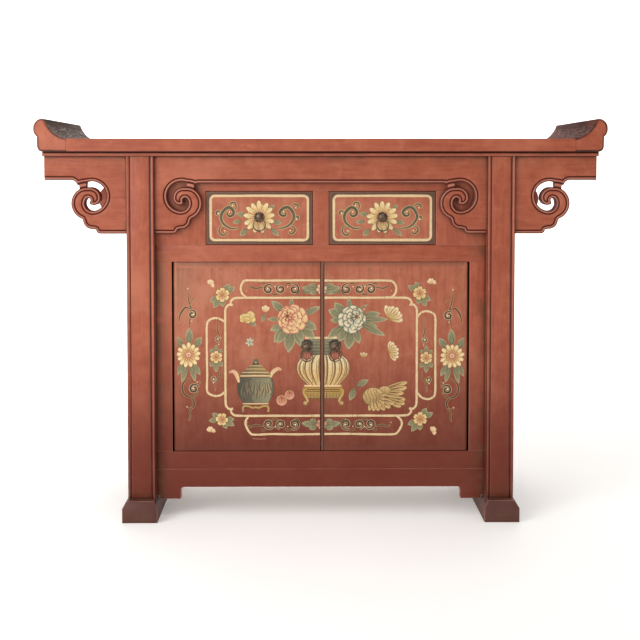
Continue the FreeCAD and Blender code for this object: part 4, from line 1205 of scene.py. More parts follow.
class Painting:
    """Ornament in millimetres on the plane of a board, painted dab over dab."""

    def __init__(self, seed: int) -> None:
        """Start with an empty board and a hand whose small irregularities follow a seed."""
        self.dabs: list[Dab] = []
        self.hand = random.Random(seed)
        self.at(0, 0)

    def at(self, x: float, y: float, tilt: float = 0.0, mirror: float = 1.0) -> None:
        """Move the hand to a new place, turned by some degrees, or mirrored by -1."""
        self.origin, self.tilt, self.mirror = (x, y), math.radians(tilt), mirror

    def _put(self, point: Point) -> Point:
        """Place of a motif's point on the board."""
        x, y, ca, sa = point[0] * self.mirror, point[1], math.cos(self.tilt), math.sin(self.tilt)
        return (self.origin[0] + x * ca - y * sa, self.origin[1] + x * sa + y * ca)

    def area(self, outline: Sequence[Point], first: Colour, second: Colour | None = None,
             start: Point = (0.0, 0.0), end: Point = (0.0, 1.0)) -> None:
        """Paint a closed outline.

        Args:
            outline: Its corners.
            first: Colour at the start of its shading.
            second: Colour at the end, or the same all over.
            start: Where the shading starts.
            end: Where the shading ends.
        """
        corners = [self._put(point) for point in outline]
        doubled = sum(a[0] * b[1] - b[0] * a[1] for a, b in zip(corners, corners[1:] + corners[:1]))
        if doubled < 0:
            corners.reverse()
        if abs(doubled) > LEAST_AREA:
            self.dabs.append(Dab(tuple(corners), first, second or first, self._put(start), self._put(end)))

    def stroke(self, path: Sequence[Point], widths: float | Sequence[float], first: Colour,
               second: Colour | None = None) -> None:
        """Pull a brush along a path, one short dab after another.

        Args:
            path: Points of its middle line.
            widths: One width, or the width at each point.
            first: Colour at its start.
            second: Colour at its end.
        """
        points = np.array(path, float)
        ahead = np.gradient(points, axis=0)
        ahead /= np.maximum(np.linalg.norm(ahead, axis=1), 1e-9)[:, None]
        across = np.column_stack([-ahead[:, 1], ahead[:, 0]]) * np.broadcast_to(widths, len(path))[:, None] / 2
        left, right = points + across, points - across
        last = len(points) - 1
        for n in range(last):
            quad = np.array([left[n], right[n], right[n + 1], left[n + 1]])
            away = quad - quad.mean(0)
            order = np.argsort(np.arctan2(away[:, 1], away[:, 0]))
            self.area([tuple(corner) for corner in quad[order].tolist()], blended(first, second or first, n / last))

    def disc(self, x: float, y: float, radius: float, first: Colour, second: Colour | None = None,
             squash: float = 1.0) -> None:
        """Paint a round spot, shaded from top to bottom; squash is its height as a share of its width."""
        up, turns = radius * squash, [math.tau * n / 14 for n in range(14)]
        rim = [(x + radius * math.cos(t), y + up * math.sin(t)) for t in turns]
        self.area(rim, first, second, (x, y + up), (x, y - up))

    def petal(self, turn: float, near: float, far: float, width: float, first: Colour, second: Colour,
              notch: float = 0.0) -> None:
        """Paint a petal or leaf that points away from the motif's centre.

        Args:
            turn: Its direction in degrees.
            near: Where it starts.
            far: Where it ends.
            width: Its greatest width.
            first: Colour at the root.
            second: Colour at the tip.
            notch: Depth of a notch in its tip; below 0 for a pointed tip.
        """
        shape = POINTED_PETAL if notch < 0 else ROUND_PETAL
        upper = [(near + (far - near) * t, width / 2 * w) for t, w in shape]
        outline = [*upper, (far - notch, 0.0), *((x, -y) for x, y in reversed(upper))]
        ca, sa = math.cos(math.radians(turn)), math.sin(math.radians(turn))
        outline = [(x * ca - y * sa, x * sa + y * ca) for x, y in outline]
        self.area(outline, first, second, (near * ca, near * sa), (far * ca, far * sa))

    def daisy(self, radius: float, count: int, turn: float) -> None:
        """A flower with one ring of cream petals over another and a warm heart.

        Args:
            radius: Its radius.
            count: How many petals are in front.
            turn: Direction of the first petal in degrees.
        """
        step = 360 / count
        width = math.tau * radius * 0.74 / count
        for n in range(count):
            self.petal(turn + (n + 0.5) * step, radius * 0.2, radius * 0.84, width * 0.85, UMBER, OLIVE)
        for n in range(count):
            angle = turn + n * step + self.hand.uniform(-2.5, 2.5)
            far = radius * self.hand.uniform(0.93, 1.04)
            self.petal(angle, radius * 0.16, far + 0.6, width * 1.14, ROSE, UMBER.thin(0.6))
            self.petal(angle, radius * 0.2, far, width * 0.94, BUTTER, STRAW)
            self.petal(angle, radius * 0.5, far * 0.97, width * 0.5, STRAW, PALE)
            self.petal(angle, radius * 0.2, radius * 0.6, width * 0.34, ROSE.thin(0.85), BUTTER.thin(0.7))
        self.disc(0, 0, radius * 0.22, BLUSH, ROSE)
        for t in (math.tau * n / 6 for n in range(6)):
            self.disc(radius * 0.13 * math.cos(t), radius * 0.13 * math.sin(t), radius * 0.045, PALE)

    def leaf(self, turn: float, near: float, far: float, width: float) -> None:
        """A leaf with a pale rim, a dark middle and a pale vein.

        Args:
            turn: Its direction in degrees.
            near: Where it starts.
            far: Where it ends.
            width: Its greatest width.
        """
        length = far - near
        self.petal(turn, near, far, width * 1.16, LEAF, SAGE, -1)
        self.petal(turn, near + 0.3, near + length * 0.9, width * 0.84, MOSS.mixed(LEAF, 0.3), LEAF.mixed(SAGE, 0.35),
                   -1)
        across, up = math.cos(math.radians(turn)), math.sin(math.radians(turn))
        for lean, start, reach in ((0.0, 0.05, 0.86), (0.3, 0.18, 0.62), (-0.3, 0.18, 0.62)):
            line = [(near + length * (start + (reach - start) * t), lean * width * 1.1 * t) for t in (0, 0.35, 0.7, 1)]
            path = [(out * across - aside * up, out * up + aside * across) for out, aside in line]
            self.stroke(path, [0.4, 0.55, 0.45, 0.2], SAGE.thin(0.8))

    def leaves(self, near: float, *leaves: tuple[float, float, float]) -> None:
        """Leaves that start equally far out, each with its direction, reach and width."""
        for turn, reach, width in leaves:
            self.leaf(turn, near, reach, width)

    def spray(self, size: float) -> None:
        """A small six-petal flower among leaves, by the flower's radius."""
        for turn, reach in ((28, 2.0), (62, 1.75), (205, 1.9), (238, 2.15), (270, 1.6)):
            self.leaf(turn + self.hand.uniform(-6, 6), size * 0.5, size * reach, size * 0.75)
        self.blossom(size)

    def blossom(self, size: float) -> None:
        """A small open flower with six notched petals.

        Args:
            size: Its radius.
        """
        for n in range(6):
            angle = 90 + n * 60 + self.hand.uniform(-5, 5)
            self.petal(angle, size * 0.1, size * 1.08, size * 0.82, WINE.thin(0.8), UMBER.thin(0.7))
            self.petal(angle, size * 0.15, size * 1.02, size * 0.68, BUTTER, STRAW, size * 0.1)
            self.petal(angle, size * 0.15, size * 0.66, size * 0.24, ROSE.thin(0.9), BLUSH.thin(0.7))
        self.disc(0, 0, size * 0.24, GOLD, ROSE)

    def bud(self, size: float, turn: float) -> None:
        """A half-open bud of three petals.

        Args:
            size: Its length.
            turn: Its direction in degrees.
        """
        for lean, rim, far in ((-24, 1.0, 0.93), (24, 1.0, 0.93), (0, 1.08, 1.0)):
            self.petal(turn + lean, 0.0, size * rim, size * 0.58, ROSE, BLUSH)
            self.petal(turn + lean, size * 0.1, size * far, size * 0.48, BUTTER, PALE)

    def curl(self, middle: Point, radius: float, start: float, spin: int, width: float, turns: float = 1.3) -> None:
        """A dark tendril that winds into a spiral, edged in cream, with a dot at its heart.

        Args:
            middle: Its middle.
            radius: Its outer radius.
            start: Direction of its outer end in degrees.
            spin: 1 anticlockwise and -1 clockwise.
            width: Width of the tendril.
            turns: How many turns it makes.
        """
        count = max(8, round(turns * 18))
        path = []
        for t in (n / count for n in range(count + 1)):
            reach = radius * (1 - 0.8 * t**0.85)
            angle = math.radians(start) + spin * math.tau * turns * t
            path.append((middle[0] + reach * math.cos(angle), middle[1] + reach * math.sin(angle)))
        swell = width * swelling(count + 1, 0.08, 0.8) ** 0.7
        self.stroke(path, swell + 1.9, CREAM.thin(0.85))
        self.stroke(path, swell + 0.2, INK.thin(0.95), MOSS)
        self.disc(*path[-1], width * 0.36 + 0.4, PALE)

    def dot(self, x: float, y: float, radius: float = 1.5) -> None:
        """A pale dot."""
        self.disc(x, y, radius, PALE.thin(0.9))

    def tendril(self, path: Sequence[Point], width: float) -> None:
        """A dark stem that thins out, with a pale edge.

        Args:
            path: Points of its middle line.
            width: Width where it is thickest.
        """
        points = smooth_path(path)
        swell = width * swelling(len(points), 0.1, 0.85)
        self.stroke(points, swell + 1.3, BUTTER.thin(0.6))
        self.stroke(points, swell * 0.9 + 0.1, INK.thin(0.92), MOSS.thin(0.9))

    def band(self, path: Sequence[Point], width: float) -> None:
        """A cream line with the small thick and thin places of a brush.

        Args:
            path: Points of its middle line.
            width: Its usual width.
        """
        sway = [math.sin(n * 1.7 + self.hand.uniform(-0.4, 0.4)) for n in range(len(path))]
        widths = width * (1 + 0.1 * np.array(sway))
        self.stroke(path, widths + 1.0, UMBER.thin(0.35))
        self.stroke(path, widths, CREAM)
        self.stroke(path, widths * 0.4, PALE.thin(0.75))


@dataclass
class PaintedBoard:
    """A flat board with painted ornament, eased edges and, on a door, a half-round hinge edge."""

    low: Point
    high: Point
    front: float
    thickness: float
    dabs: Sequence[Dab]
    hinge: int = 0
    bead: int = 0
    easing: float = 1.2
    bead_profile: ClassVar[tuple[tuple[float, float], ...]] = (
        (0.0, 0.9), (0.7, 0.3), (1.8, 0.0), (3.4, 0.0), (4.8, 0.4), (5.7, 1.1), (6.3, 1.7), (6.9, 1.0), (7.8, 0.0),
    )

    def mesh(self, name: str) -> bpy.types.Mesh:
        """Build the board.

        Args:
            name: Name of the mesh.

        Returns:
            The mesh, with the paint as a colour on its corners.
        """
        round_edge = self.thickness / 2
        inset = {side: round_edge if side == self.hinge else self.easing for side in (-1, 1)}
        x0, x1 = self.low[0] + inset[-1], self.high[0] - inset[1]
        z0, z1 = self.low[1] + self.easing, self.high[1] - self.easing
        points: list[Point] = [(x0, z0), (x1, z0), (x1, z1), (x0, z1)]
        faces: list[list[int]] = [[0, 1, 2, 3]]
        edges: list[tuple[int, int]] = []
        for dab in self.dabs:
            first = len(points)
            points += dab.outline
            faces.append(list(range(first, first + len(dab.outline))))
        if self.bead:
            edge = x0 - inset[-1] if self.bead < 0 else x1 + inset[1]
            for gap, _ in self.bead_profile[2:]:
                x = edge - self.bead * gap
                edges.append((len(points), len(points) + 1))
                points += [(x, z0), (x, z1)]
        made = geometry.delaunay_2d_cdt([Vector(point) for point in points], edges, faces, 1, 1e-3)
        flat, triangles, sources = made[0], made[2], made[5]
        work = bmesh.new()
        paint = work.loops.layers.float_color.new("paint")
        corners = [work.verts.new((point.x * MM, self._depth(point.x), point.y * MM)) for point in flat]
        for triangle, source in zip(triangles, sources):
            if 0 not in source:
                continue
            face = work.faces.new([corners[index] for index in triangle])
            face.smooth = True
            top = max(source)
            for loop, index in zip(face.loops, triangle):
                loop[paint] = self.dabs[top - 1].at(flat[index].x, flat[index].y) if top else NO_PAINT
        bmesh.ops.delete(work, geom=[vert for vert in work.verts if not vert.link_faces], context="VERTS")
        self._close(work, (x0, x1, z0, z1))
        return closed_mesh(bpy.data.meshes.new(name), work)

    def _depth(self, x: float) -> float:
        """Place of the face in depth, with the bead of the meeting edge."""
        edge = {-1: self.low[0], 0: math.inf, 1: self.high[0]}[self.bead]
        return self.front + float(np.interp(abs(x - edge), *zip(*self.bead_profile))) * MM

    def _close(self, work: bmesh.types.BMesh, field_box: tuple[float, float, float, float]) -> None:
        """Run the face's border round the edges and close the back.

        Args:
            work: The mesh so far.
            field_box: Left, right, bottom and top of the flat face.
        """
        x0, x1, z0, z1 = field_box
        near = 0.02
        ring = ordered_ring([edge for edge in work.edges if len(edge.link_faces) == 1])
        span = self.thickness
        eased = [self.easing * (1 - math.cos(math.radians(a))) for a in (30, 60, 90)]
        round_edge = span / 2
        turned = [round_edge * (1 - math.cos(math.radians(a))) for a in (20, 40, 60, 75)]
        half = sorted({round(value, 4) for value in eased + turned} | {round_edge})
        depths = half + [span - value for value in reversed(half[:-1])] + [span]
        start = [vert.co.copy() for vert in ring]
        previous, plain = ring, []
        for depth in depths:
            edge_depth = min(depth, span - depth)
            small = math.sqrt(max(0.0, self.easing**2 - max(0.0, self.easing - edge_depth) ** 2))
            large = math.sqrt(max(0.0, round_edge**2 - (depth - round_edge) ** 2))
            current = []
            for place in start:
                x, z = place.x / MM, place.z / MM
                shift_x = shift_z = 0.0
                for side, limit in ((-1, x0), (1, x1)):
                    if abs(x - limit) < near:
                        shift_x = side * (large if side == self.hinge else small)
                for side, limit in ((-1, z0), (1, z1)):
                    if abs(z - limit) < near:
                        shift_z = side * small
                y = max(place.y, self.front + depth * MM)
                current.append(work.verts.new(((x + shift_x) * MM, y, (z + shift_z) * MM)))
            for n, (a, b) in enumerate(zip(previous, current)):
                after = (n + 1) % len(ring)
                face = work.faces.new((a, b, current[after], previous[after]))
                face.material_index = 1 if depth > span - self.easing * 0.5 else 0
                plain.append(face)
            previous = current
        plain.append(work.faces.new(previous))
        plain[-1].material_index = 1
        paint = work.loops.layers.float_color["paint"]
        for loop in (loop for face in plain for loop in face.loops):
            loop[paint] = NO_PAINT


def ordered_ring(border: Sequence[bmesh.types.BMEdge]) -> list[bmesh.types.BMVert]:
    """Vertices of a closed border, in order.

    Args:
        border: Its edges.

    Returns:
        The vertices.
    """
    edges = set(border)
    first = border[0].verts[0]
    ring, here, edge = [first], border[0].verts[1], border[0]
    while here is not first:
        ring.append(here)
        edge = next(other for other in here.link_edges if other in edges and other is not edge)
        here = edge.other_vert(here)
    return ring


class CabinetPainting(Painting):
    """Ornament of the two doors, laid out over both from the middle of the cabinet."""

    line_width: ClassVar[float] = 4.8

    def design(self) -> list[Dab]:
        """Paint everything from the frames to the smallest buds.

        Returns:
            All dabs, the last ones on top.
        """
        for paint in (self._smoke, self._frames, self._centre_flowers, self._side_gardens, self._vase, self._pot,
                      self._fruits, self._peonies, self._loose_flowers, self._door_wear):
            self.at(0, 0)
            paint()
        return self.dabs

    def _smoke(self) -> None:
        """Brown smoke on the bare lacquer in the upper left corner and down the outer edges."""
        clear = MARGIN.thin(0.0)
        self.area([(-340, 584), (-340, 250), (-312, 400), (-285, 490), (-215, 584)], MARGIN.thin(0.5), clear,
                  (-334, 560), (-272, 530))
        self.area([(334, 584), (334, 150), (318, 150), (312, 584)], MARGIN.thin(0.4), clear, (334, 0), (313, 0))
        for n in range(16):
            x = self.hand.uniform(-322, -180) if n % 2 else self.hand.uniform(-60, 320)
            path = [(x, 582), (x + 2, 560), (x, self.hand.uniform(500, 548))]
            self.stroke(path, [3.0, 5.0, 0.5], MARGIN.thin(0.3), clear)

    def _frames(self) -> None:
        """Cream lines: the cusped frame and the four long panels round it."""
        upright = ((216.6, 0), (216.6, 40), (216.6, 80), (216.4, 104), (214.5, 112.5), (208.5, 118.5), (199.5, 118))
        level = ((204.5, 119.5), (203.5, 126.5), (199, 131.5), (190, 134), (150, 134.6), (100, 134.2), (50, 134.6),
                 (0, 134.3))
        for side in (-1, 1):
            for end in (-1, 1):
                for path in (upright, level):
                    self.band(smooth_path([(0.7 + side * x, 364 + end * y) for x, y in path], 4), self.line_width)
        panels = (
            ((0, 537.4), (-60, 537.8), (-120, 537.2), (-166, 537.8), (-175.5, 534), (-180.5, 521), (-177.5, 508),
             (-169, 500)),
            ((0, 537.4), (60, 536.9), (110, 537.2), (154, 536.8), (165, 532), (170.5, 520), (167.5, 507), (159, 499)),
            ((0, 187.6), (-60, 186.9), (-110, 187.8), (-150, 186.4), (-161, 191), (-169.5, 206), (-170.5, 217),
             (-165, 227)),
            ((0, 187.6), (60, 187.9), (110, 187), (158, 186.6), (173, 190), (183.5, 208), (182, 219), (173, 229)),
            ((-257.6, 364), (-257.8, 400), (-257.4, 436), (-252, 447.5), (-240, 452.5), (-228, 450.5), (-219, 445)),
            ((-257.6, 364), (-257.2, 320), (-257.6, 288), (-250, 278.5), (-237, 275), (-225, 278), (-219, 284)),
            ((259.3, 364), (259, 410), (259, 452), (253, 463), (240, 467.4), (227, 464.5), (219.5, 455)),
            ((259.3, 364), (259.6, 320), (259.2, 281), (253, 270.5), (242, 267), (229, 271), (219.5, 281)),
        )
        for path in panels:
            self.band(smooth_path(path), self.line_width * 0.96)
        self.stroke(smooth_path([(-155, 177.5), (-140, 176.4), (-124, 177)], 3), 1.3, BLUSH.thin(0.6))

    def _centre_flowers(self) -> None:
        """Scrolls and a small flower in the long panels above and below."""
        curls = ((59.5, 13.0, 60, 1, 0.0), (89.5, 11.6, 75, -1, 0.5), (117.0, 12.6, 150, -1, -0.6))
        stems = (((127, 5), (139, 2.5), (149, 2), (158, 5.5), (166, 1.5)), ((66, 11), (74, 13.5), (81, 9)),
                 ((95, -9.5), (103, -13), (111, -9)), ((46, -2), (51, -10), (58, -12.5)),
                 ((124, 11), (130, 14), (134, 10)))
        for height, up, back, tip in ((518.0, 1, 172, PALE), (210.0, -1, 180, BLUSH)):
            for side, reach in ((-1, 1.0), (1, 0.94)):
                self.at(0.7 + side * 1.5, height, 0, side)
                self.leaf(back, -44, -9, 12)
                self.leaves(8, (24 * up, 27, 11), (-26 * up, 25, 10))
                self.leaf(4, 9, 42, 11)
                for place, radius, start, spin, lift in curls:
                    self.curl((place * reach, lift * up), radius, start * up, spin * up, 4.6)
                    self.dot(place * reach + radius + 1.5, (lift + 5.0) * up)
                for path in stems:
                    self.tendril([(x * reach, z * up) for x, z in path], 3.4)
                self.disc(167 * reach, -4.0 * up, 1.6, BLUSH)
            self.at(1.6, height)
            for turn in (15, 75, 130, 190, 250, 310):
                self.petal(turn, 1, 12.2, 9.0, WINE.thin(0.8), ROSE.thin(0.9))
                self.petal(turn, 1.5, 11.4, 7.6, ROSE, tip)
            self.disc(0, 0, 2.4, GOLD, ROSE)

    def _side_gardens(self) -> None:
        """Upright flower stems at both sides, inside and outside the narrow panels."""
        for side, centre, lift in ((-1, -236.5, 363.8), (1, 238.8, 361.2)):
            self.at(centre, lift, 0, -side)
            self.leaves(11, (55, 22, 8.5), (90, 27, 8.5), (125, 22, 8.5), (-58, 25, 10), (-90, 34, 10), (-122, 25, 10))
            self.tendril([(2, 26), (8, 44), (4, 58), (3, 74), (5, 92)], 2.8)
            self.curl((4.5, 40), 7.4, 20, 1, 2.8)
            self.dot(6, 29, 1.3)
            self.tendril([(9, -30), (9.5, -42), (4, -52), (-1, -60), (-2, -78)], 2.8)
            self.curl((-5.5, -49), 7.0, -10, -1, 2.8)
            self.dot(-6.5, -58.5)
            self.at(centre, lift)
            self.blossom(14.2)
            self._outer_stem(side)

    def _outer_stem(self, side: int) -> None:
        """The tall stem with a daisy beside the outer edge of a door.

        Args:
            side: -1 on the left and 1 on the right.
        """
        x, z = (-299.0, 368.5) if side < 0 else (297.5, 365.2)
        self.at(x, z, 0, -side)
        self.leaves(22, (88, 62, 15), (126, 52, 15), (54, 50, 14))
        self.leaves(20, (-122, 56, 11), (-60, 52, 11), (-104, 64, 11), (-76, 62, 11))
        self.tendril([(2, 62), (4, 84), (6, 104), (1, 124), (-1, 150)], 3.8)
        self.tendril([(5, 104), (-6, 108), (-15, 98), (-20, 86), (-21, 72)], 4.4)
        self.curl((8.5, 92), 11.0, 130, -1, 4.4, 1.35)
        self.disc(7.5, 77, 1.6, PALE.thin(0.8))
        self.tendril([(3, 112), (8, 124), (12, 128), (15, 121)], 1.8)
        self.dot(-1, 151)
        self.tendril([(4, -52), (-9, -60), (-15, -74), (-9, -90), (4, -96), (16, -92), (23, -82)], 4.2)
        self.curl((12, -77), 12.0, 20, 1, 4.8, 1.35)
        self.tendril([(20, -72), (25, -66), (25, -60), (20, -61)], 1.8)
        self.dot(19.5, -61.5)
        self.tendril([(4, -96), (11, -104), (12, -114), (5, -122), (-3, -119)], 4.2)
        self.dot(-4, -118)
        self.tendril([(8, -119), (2, -131), (3, -140), (0, -150)], 3.0)
        self.at(x, z)
        self.daisy(28.0, 13, 90)

    def _vase(self) -> None:
        """The gadrooned vase on its scrolled stand, across the meeting of the doors."""
        self.at(5.8, 0)
        self.area([(-36, 406), (34, 406), (30, 399), (31, 368), (-36, 368), (-33, 399)], SLATE.mixed(SAGE, 0.28),
                  SLATE, (0, 406), (0, 368))
        for z in (401, 395, 388, 380, 373):
            self.stroke([(-31, z), (0, z - 0.5), (29, z)], [1.1, 1.8, 1.1], SLATE.mixed(SAGE, 0.62))
        bulge = ((368, 36), (364, 46), (357, 54), (348, 59), (337, 60.5), (326, 58), (315, 50), (305, 40), (299, 34))

        def belly(first: float, second: float) -> list[Point]:
            """Part of the bulge between two shares of its half width."""
            return [(half * first, z) for z, half in bulge] + [(half * second, z) for z, half in reversed(bulge)]

        self.area(belly(1.02, -1.02), UMBER)
        self.area(belly(0.985, -0.985), OLIVE)
        edges = [math.sin((2 * n / 9 - 1) * 1.35) / math.sin(1.35) for n in range(10)]
        for a, b in zip(edges, edges[1:]):
            self.area(belly(a + (b - a) * 0.14, b - (b - a) * 0.14), PALE, BUTTER, (60 * a, 350), (60 * b, 340))
            for share in (a, b):
                if abs(share) < 0.97:
                    self.stroke([(half * share, z) for z, half in bulge],
                                [0.8, 1.5, 1.9, 2.0, 1.9, 1.9, 1.7, 1.4, 1.0], UMBER.thin(0.85))
            core = (a + b) / 2 + (b - a) * 0.16
            self.stroke([(half * core, z) for z, half in bulge[2:-1]], [0.4, 1.4, 2.0, 1.8, 1.2, 0.5],
                        OLIVE.thin(0.55))
        self.stroke([(-42, 407.8), (0, 407.2), (31.5, 407.8)], 4.6, CREAM)
        # Under each door pull: a dark patch round its plate, painted shade mixed with the vase's dark handle, and a
        # dark rim just inside its ring, painted shade, round a rose disc.
        for place in (-32.0, 32.0):
            self.at(place, 386)
            self.area([(-14, 12), (-5, 17), (6, 17), (14, 11), (13, -2), (6, -9), (-7, -9), (-13, -2)], INK, MOSS,
                      (0, 17), (0, -9))
            self.at(place, 368.6)
            self.disc(0, 0, 11.8, INK)
            self.disc(0, 0, 10.6, WINE, ROSE)
            for x in (-6.6, -2.4, 2.4, 6.6):
                self.stroke([(x, -7.5), (x * 0.8, 0), (x * 0.9, 6)], [0.8, 1.6, 0.8], BLUSH.thin(0.7))
        self.at(5.8, 0)
        self.area([(-46, 294), (42, 294), (46, 290), (46, 282), (42, 270), (-41, 270), (-46, 282)], GOLD, OLIVE,
                  (0, 294), (0, 268))
        self.stroke([(-43, 290), (0, 290), (40, 290)], 2.6, UMBER)
        self.stroke([(-40, 285.5), (0, 285.2), (38, 285.5)], 2.0, UMBER.thin(0.7))
        self.stroke([(-42, 269.5), (0, 269), (42, 269.5)], 1.6, UMBER.thin(0.8))
        for n in range(11):
            x = -36 + 7.2 * n
            self.stroke([(x, 282), (x + 0.5, 272)], [1.0, 1.4], UMBER.thin(0.5))
        self.stroke([(-43, 298), (0, 297.4), (41, 298)], 4.0, CREAM)
        for side in (-1, 1):
            self.at(5.8, 0, 0, side)
            path = smooth_path([(38, 291), (44.5, 287), (43, 278), (38, 270), (36, 263), (40, 257)], 4)
            self.stroke(path, 6.4, UMBER)
            self.stroke(path, 4.8, GOLD, BUTTER)
            self.disc(41, 258, 5.6, UMBER)
            self.disc(41, 258, 4.6, BUTTER, OLIVE)

    def _pot(self) -> None:
        """The lidded pot with horn handles on its little stand."""
        self.at(-147.5, 0)
        side = [(33, 318), (37.5, 312), (40.5, 303), (41.2, 292), (39.5, 281), (35.5, 271), (30, 263), (27, 259)]
        body = side + [(-x, z) for x, z in reversed(side)]
        self.area([(x * 1.03, z) for x, z in body], INK.thin(0.7))
        self.area(body, MOSS, SLATE, (-44, 290), (0, 290))
        self.area([(x * 0.6 + 12, z * 0.97 + 8) for x, z in body], SLATE, SLATE.mixed(SAGE, 0.5), (-20, 290), (26, 290))
        for n in range(23):
            x = -35 + n * 3.2 + self.hand.uniform(-1, 1)
            lean = self.hand.uniform(-2.5, 2.5)
            high, low = self.hand.uniform(300, 311), self.hand.uniform(265, 282)
            path = [(x * 0.88, high), (x + lean, high * 0.6 + low * 0.4), (x - lean, high * 0.3 + low * 0.7),
                    (x * 0.9, low)]
            tone = SLATE.mixed(BUTTER, 0.08 + 0.022 * n) if n % 2 else SLATE.mixed(INK, 0.6 - 0.02 * n)
            self.stroke(smooth_path(path, 3), 0.5 + 2.2 * swelling(10, 0, 1), tone)
        for path in ([(-38, 306), (-40.5, 316), (-44, 325), (-51, 331.5), (-60, 328)],
                     [(34, 317), (36.5, 326), (43, 333), (52, 337), (58, 334)]):
            points = smooth_path(path)
            swell = 4.0 + 5.0 * swelling(len(points), 0, 1)
            self.stroke(points, swell + 1.6, UMBER.thin(0.8))
            self.stroke(points, swell, CREAM, BLUSH)
        self.area([(-36, 319), (36, 319), (33, 327), (29, 330), (21, 337), (17, 343), (8, 347), (-6, 347), (-16, 343),
                   (-20, 337), (-29, 330), (-33, 327)], SLATE, OLIVE, (-30, 330), (20, 330))
        for z, half, width, tone in (
            (320.6, 35, 3.0, CREAM), (324.6, 33, 1.4, UMBER), (328.6, 30.5, 1.8, CREAM), (331.4, 27, 1.2, UMBER),
            (336.4, 21.5, 1.6, BUTTER), (339, 19, 1.0, UMBER), (343.5, 14, 1.4, BUTTER),
        ):
            self.stroke([(-half, z), (0, z + 0.5), (half, z)], [width * 0.8, width, width * 0.8], tone.thin(0.95))
        self.area([(-8, 346), (-5, 352), (-3, 359), (4, 360), (6, 353), (8, 346)], MOSS, SLATE, (0, 347), (0, 360))
        self.disc(0.5, 351, 3.0, SAGE, SLATE)
        self.stroke([(-29, 257.4), (0, 257), (29, 257.4)], [2.2, 2.6, 2.2], CREAM)
        self.area([(-31, 254), (31, 254), (30, 248), (24, 245), (-24, 245), (-30, 248)], WINE.thin(0.8))
        half = [(-28, 238), (-29, 246), (-26, 252), (-16, 251.5), (-7, 248)]
        foot = smooth_path([*half, (0, 249.5), *((-x, z) for x, z in reversed(half))], 3)
        self.stroke(foot, 7.0, UMBER)
        self.stroke(foot, 4.6, OLIVE, GOLD)
        self.stroke(foot, 1.4, BUTTER.thin(0.7))

    def _fruits(self) -> None:
        """Round fruits, a sprig of leaves and the fingered citron."""
        for x, z, radius in ((-70.8, 277.0, 10.7), (-88.6, 264.6, 11.9)):
            self.at(x, z)
            self.disc(0, 0, radius * 1.06, UMBER.thin(0.8))
            self.disc(0, 0, radius, BUTTER, BLUSH)
            self.disc(0.3, 0.2, radius * 0.86, ROSE, BLUSH)
            self.disc(-2.4, -2, radius * 0.42, BLUSH.thin(0.6))
            self.disc(0.4, 4.4, 1.5, INK)
            self.stroke([(0.4, 5), (-1.5, 9), (-4.5, 13)], [1.0, 1.0, 0.6], UMBER)
        self.at(79, 296)
        self.stroke([(-4, 24), (-3, 14), (0, 0), (3, -8)], [2.2, 1.2, 1.0, 0.8], UMBER)
        self.leaf(28, 1, 32, 12.5)
        self.leaf(247, 3, 34, 13)
        for x, z, fingers in (
            (122, 282, ((18, 6, 78, 12), (9, 14, 74, 13), (-1, 14, 66, 12), (-9, 12, 56, 11))),
            (144, 268, ((-2, 4, 48, 12), (-14, 4, 48, 12), (-26, 2, 42, 11))),
            (118, 274, ((-20, 6, 52, 12), (-34, 6, 48, 12), (-50, 6, 42, 11), (-68, 4, 36, 11), (-86, 4, 34, 10),
                        (-104, 4, 34, 9))),
        ):
            self.at(x, z)
            for turn, near, far, width in fingers:
                self.petal(turn, near, far + 1.2, width + 2.2, UMBER.thin(0.9), UMBER.thin(0.9))
                self.petal(turn, near, far, width, OLIVE, BUTTER)
                self.petal(turn + 2, near + 10, far - 3, width * 0.2, UMBER.thin(0.6), UMBER.thin(0.5), -1)
        for x, z, radius, squash in ((145, 287, 15, 0.7), (119, 273, 25, 0.86)):
            self.at(x, z)
            self.disc(0, 0, radius, UMBER.thin(0.9), None, squash)
            self.disc(0, 0, radius - 1.2, BUTTER, OLIVE, squash - 0.01)
        for bow, reach in ((-17, -20), (-10, -8), (-2, 3), (6, 13), (13, 20)):
            self.stroke(smooth_path([(bow * 0.5 - 4, 19), (bow - 3, 9), (reach * 0.7 - 1, -4), (reach, -17)], 3),
                        [0.4] + [1.3] * 8 + [0.5], OLIVE.mixed(UMBER, 0.6))
        for turn, near, far in ((-96, 4, 26), (-74, 6, 27), (-52, 6, 28), (-32, 6, 30), (-12, 8, 30), (8, 8, 30)):
            self.petal(turn, near, far, 6.5, OLIVE.thin(0.9), BUTTER)
            self.petal(turn + 9, near + 2, far, 1.7, UMBER.thin(0.75), UMBER.thin(0.6), -1)

    def _peonies(self) -> None:
        """Two full peonies above the vase, a warm one and a pale blue one, with their leaves."""
        for x, z, leaves in (
            (-64.6, 449.5, ((138, 62, 16), (-128, 66, 20), (-97, 76, 22), (-40, 66, 20), (-22, 60, 15), (24, 70, 13),
                            (92, 48, 9), (180, 56, 9), (205, 54, 10))),
            (69.5, 449.0, ((158, 56, 18), (136, 54, 16), (-142, 68, 16), (-96, 68, 22), (12, 66, 16), (-16, 60, 12),
                           (0, 82, 12), (-26, 84, 14), (98, 50, 9), (45, 48, 8))),
        ):
            self.at(x, z)
            for turn, reach, width in leaves:
                self.leaf(turn, 22, reach, width)
                if width > 17:
                    self.leaves(22, *((turn + lean, reach * 0.84, width * 0.7) for lean in (-24, 24)))
        self.at(-64.6, 449.5)
        self._peony(35.5, ROSE, BLUSH, STRAW, WINE, (-11, 7))
        self.at(69.5, 449.0)
        self._peony(33.0, SLATE, MIST, PALE, UMBER, (11, 6))
        self.at(98, 471)
        self.disc(0, 0, 5.2, MOSS.thin(0.8), LEAF.thin(0.8), 1.2)
        self.disc(0, 0, 3.6, BLUSH, ROSE, 1.2)

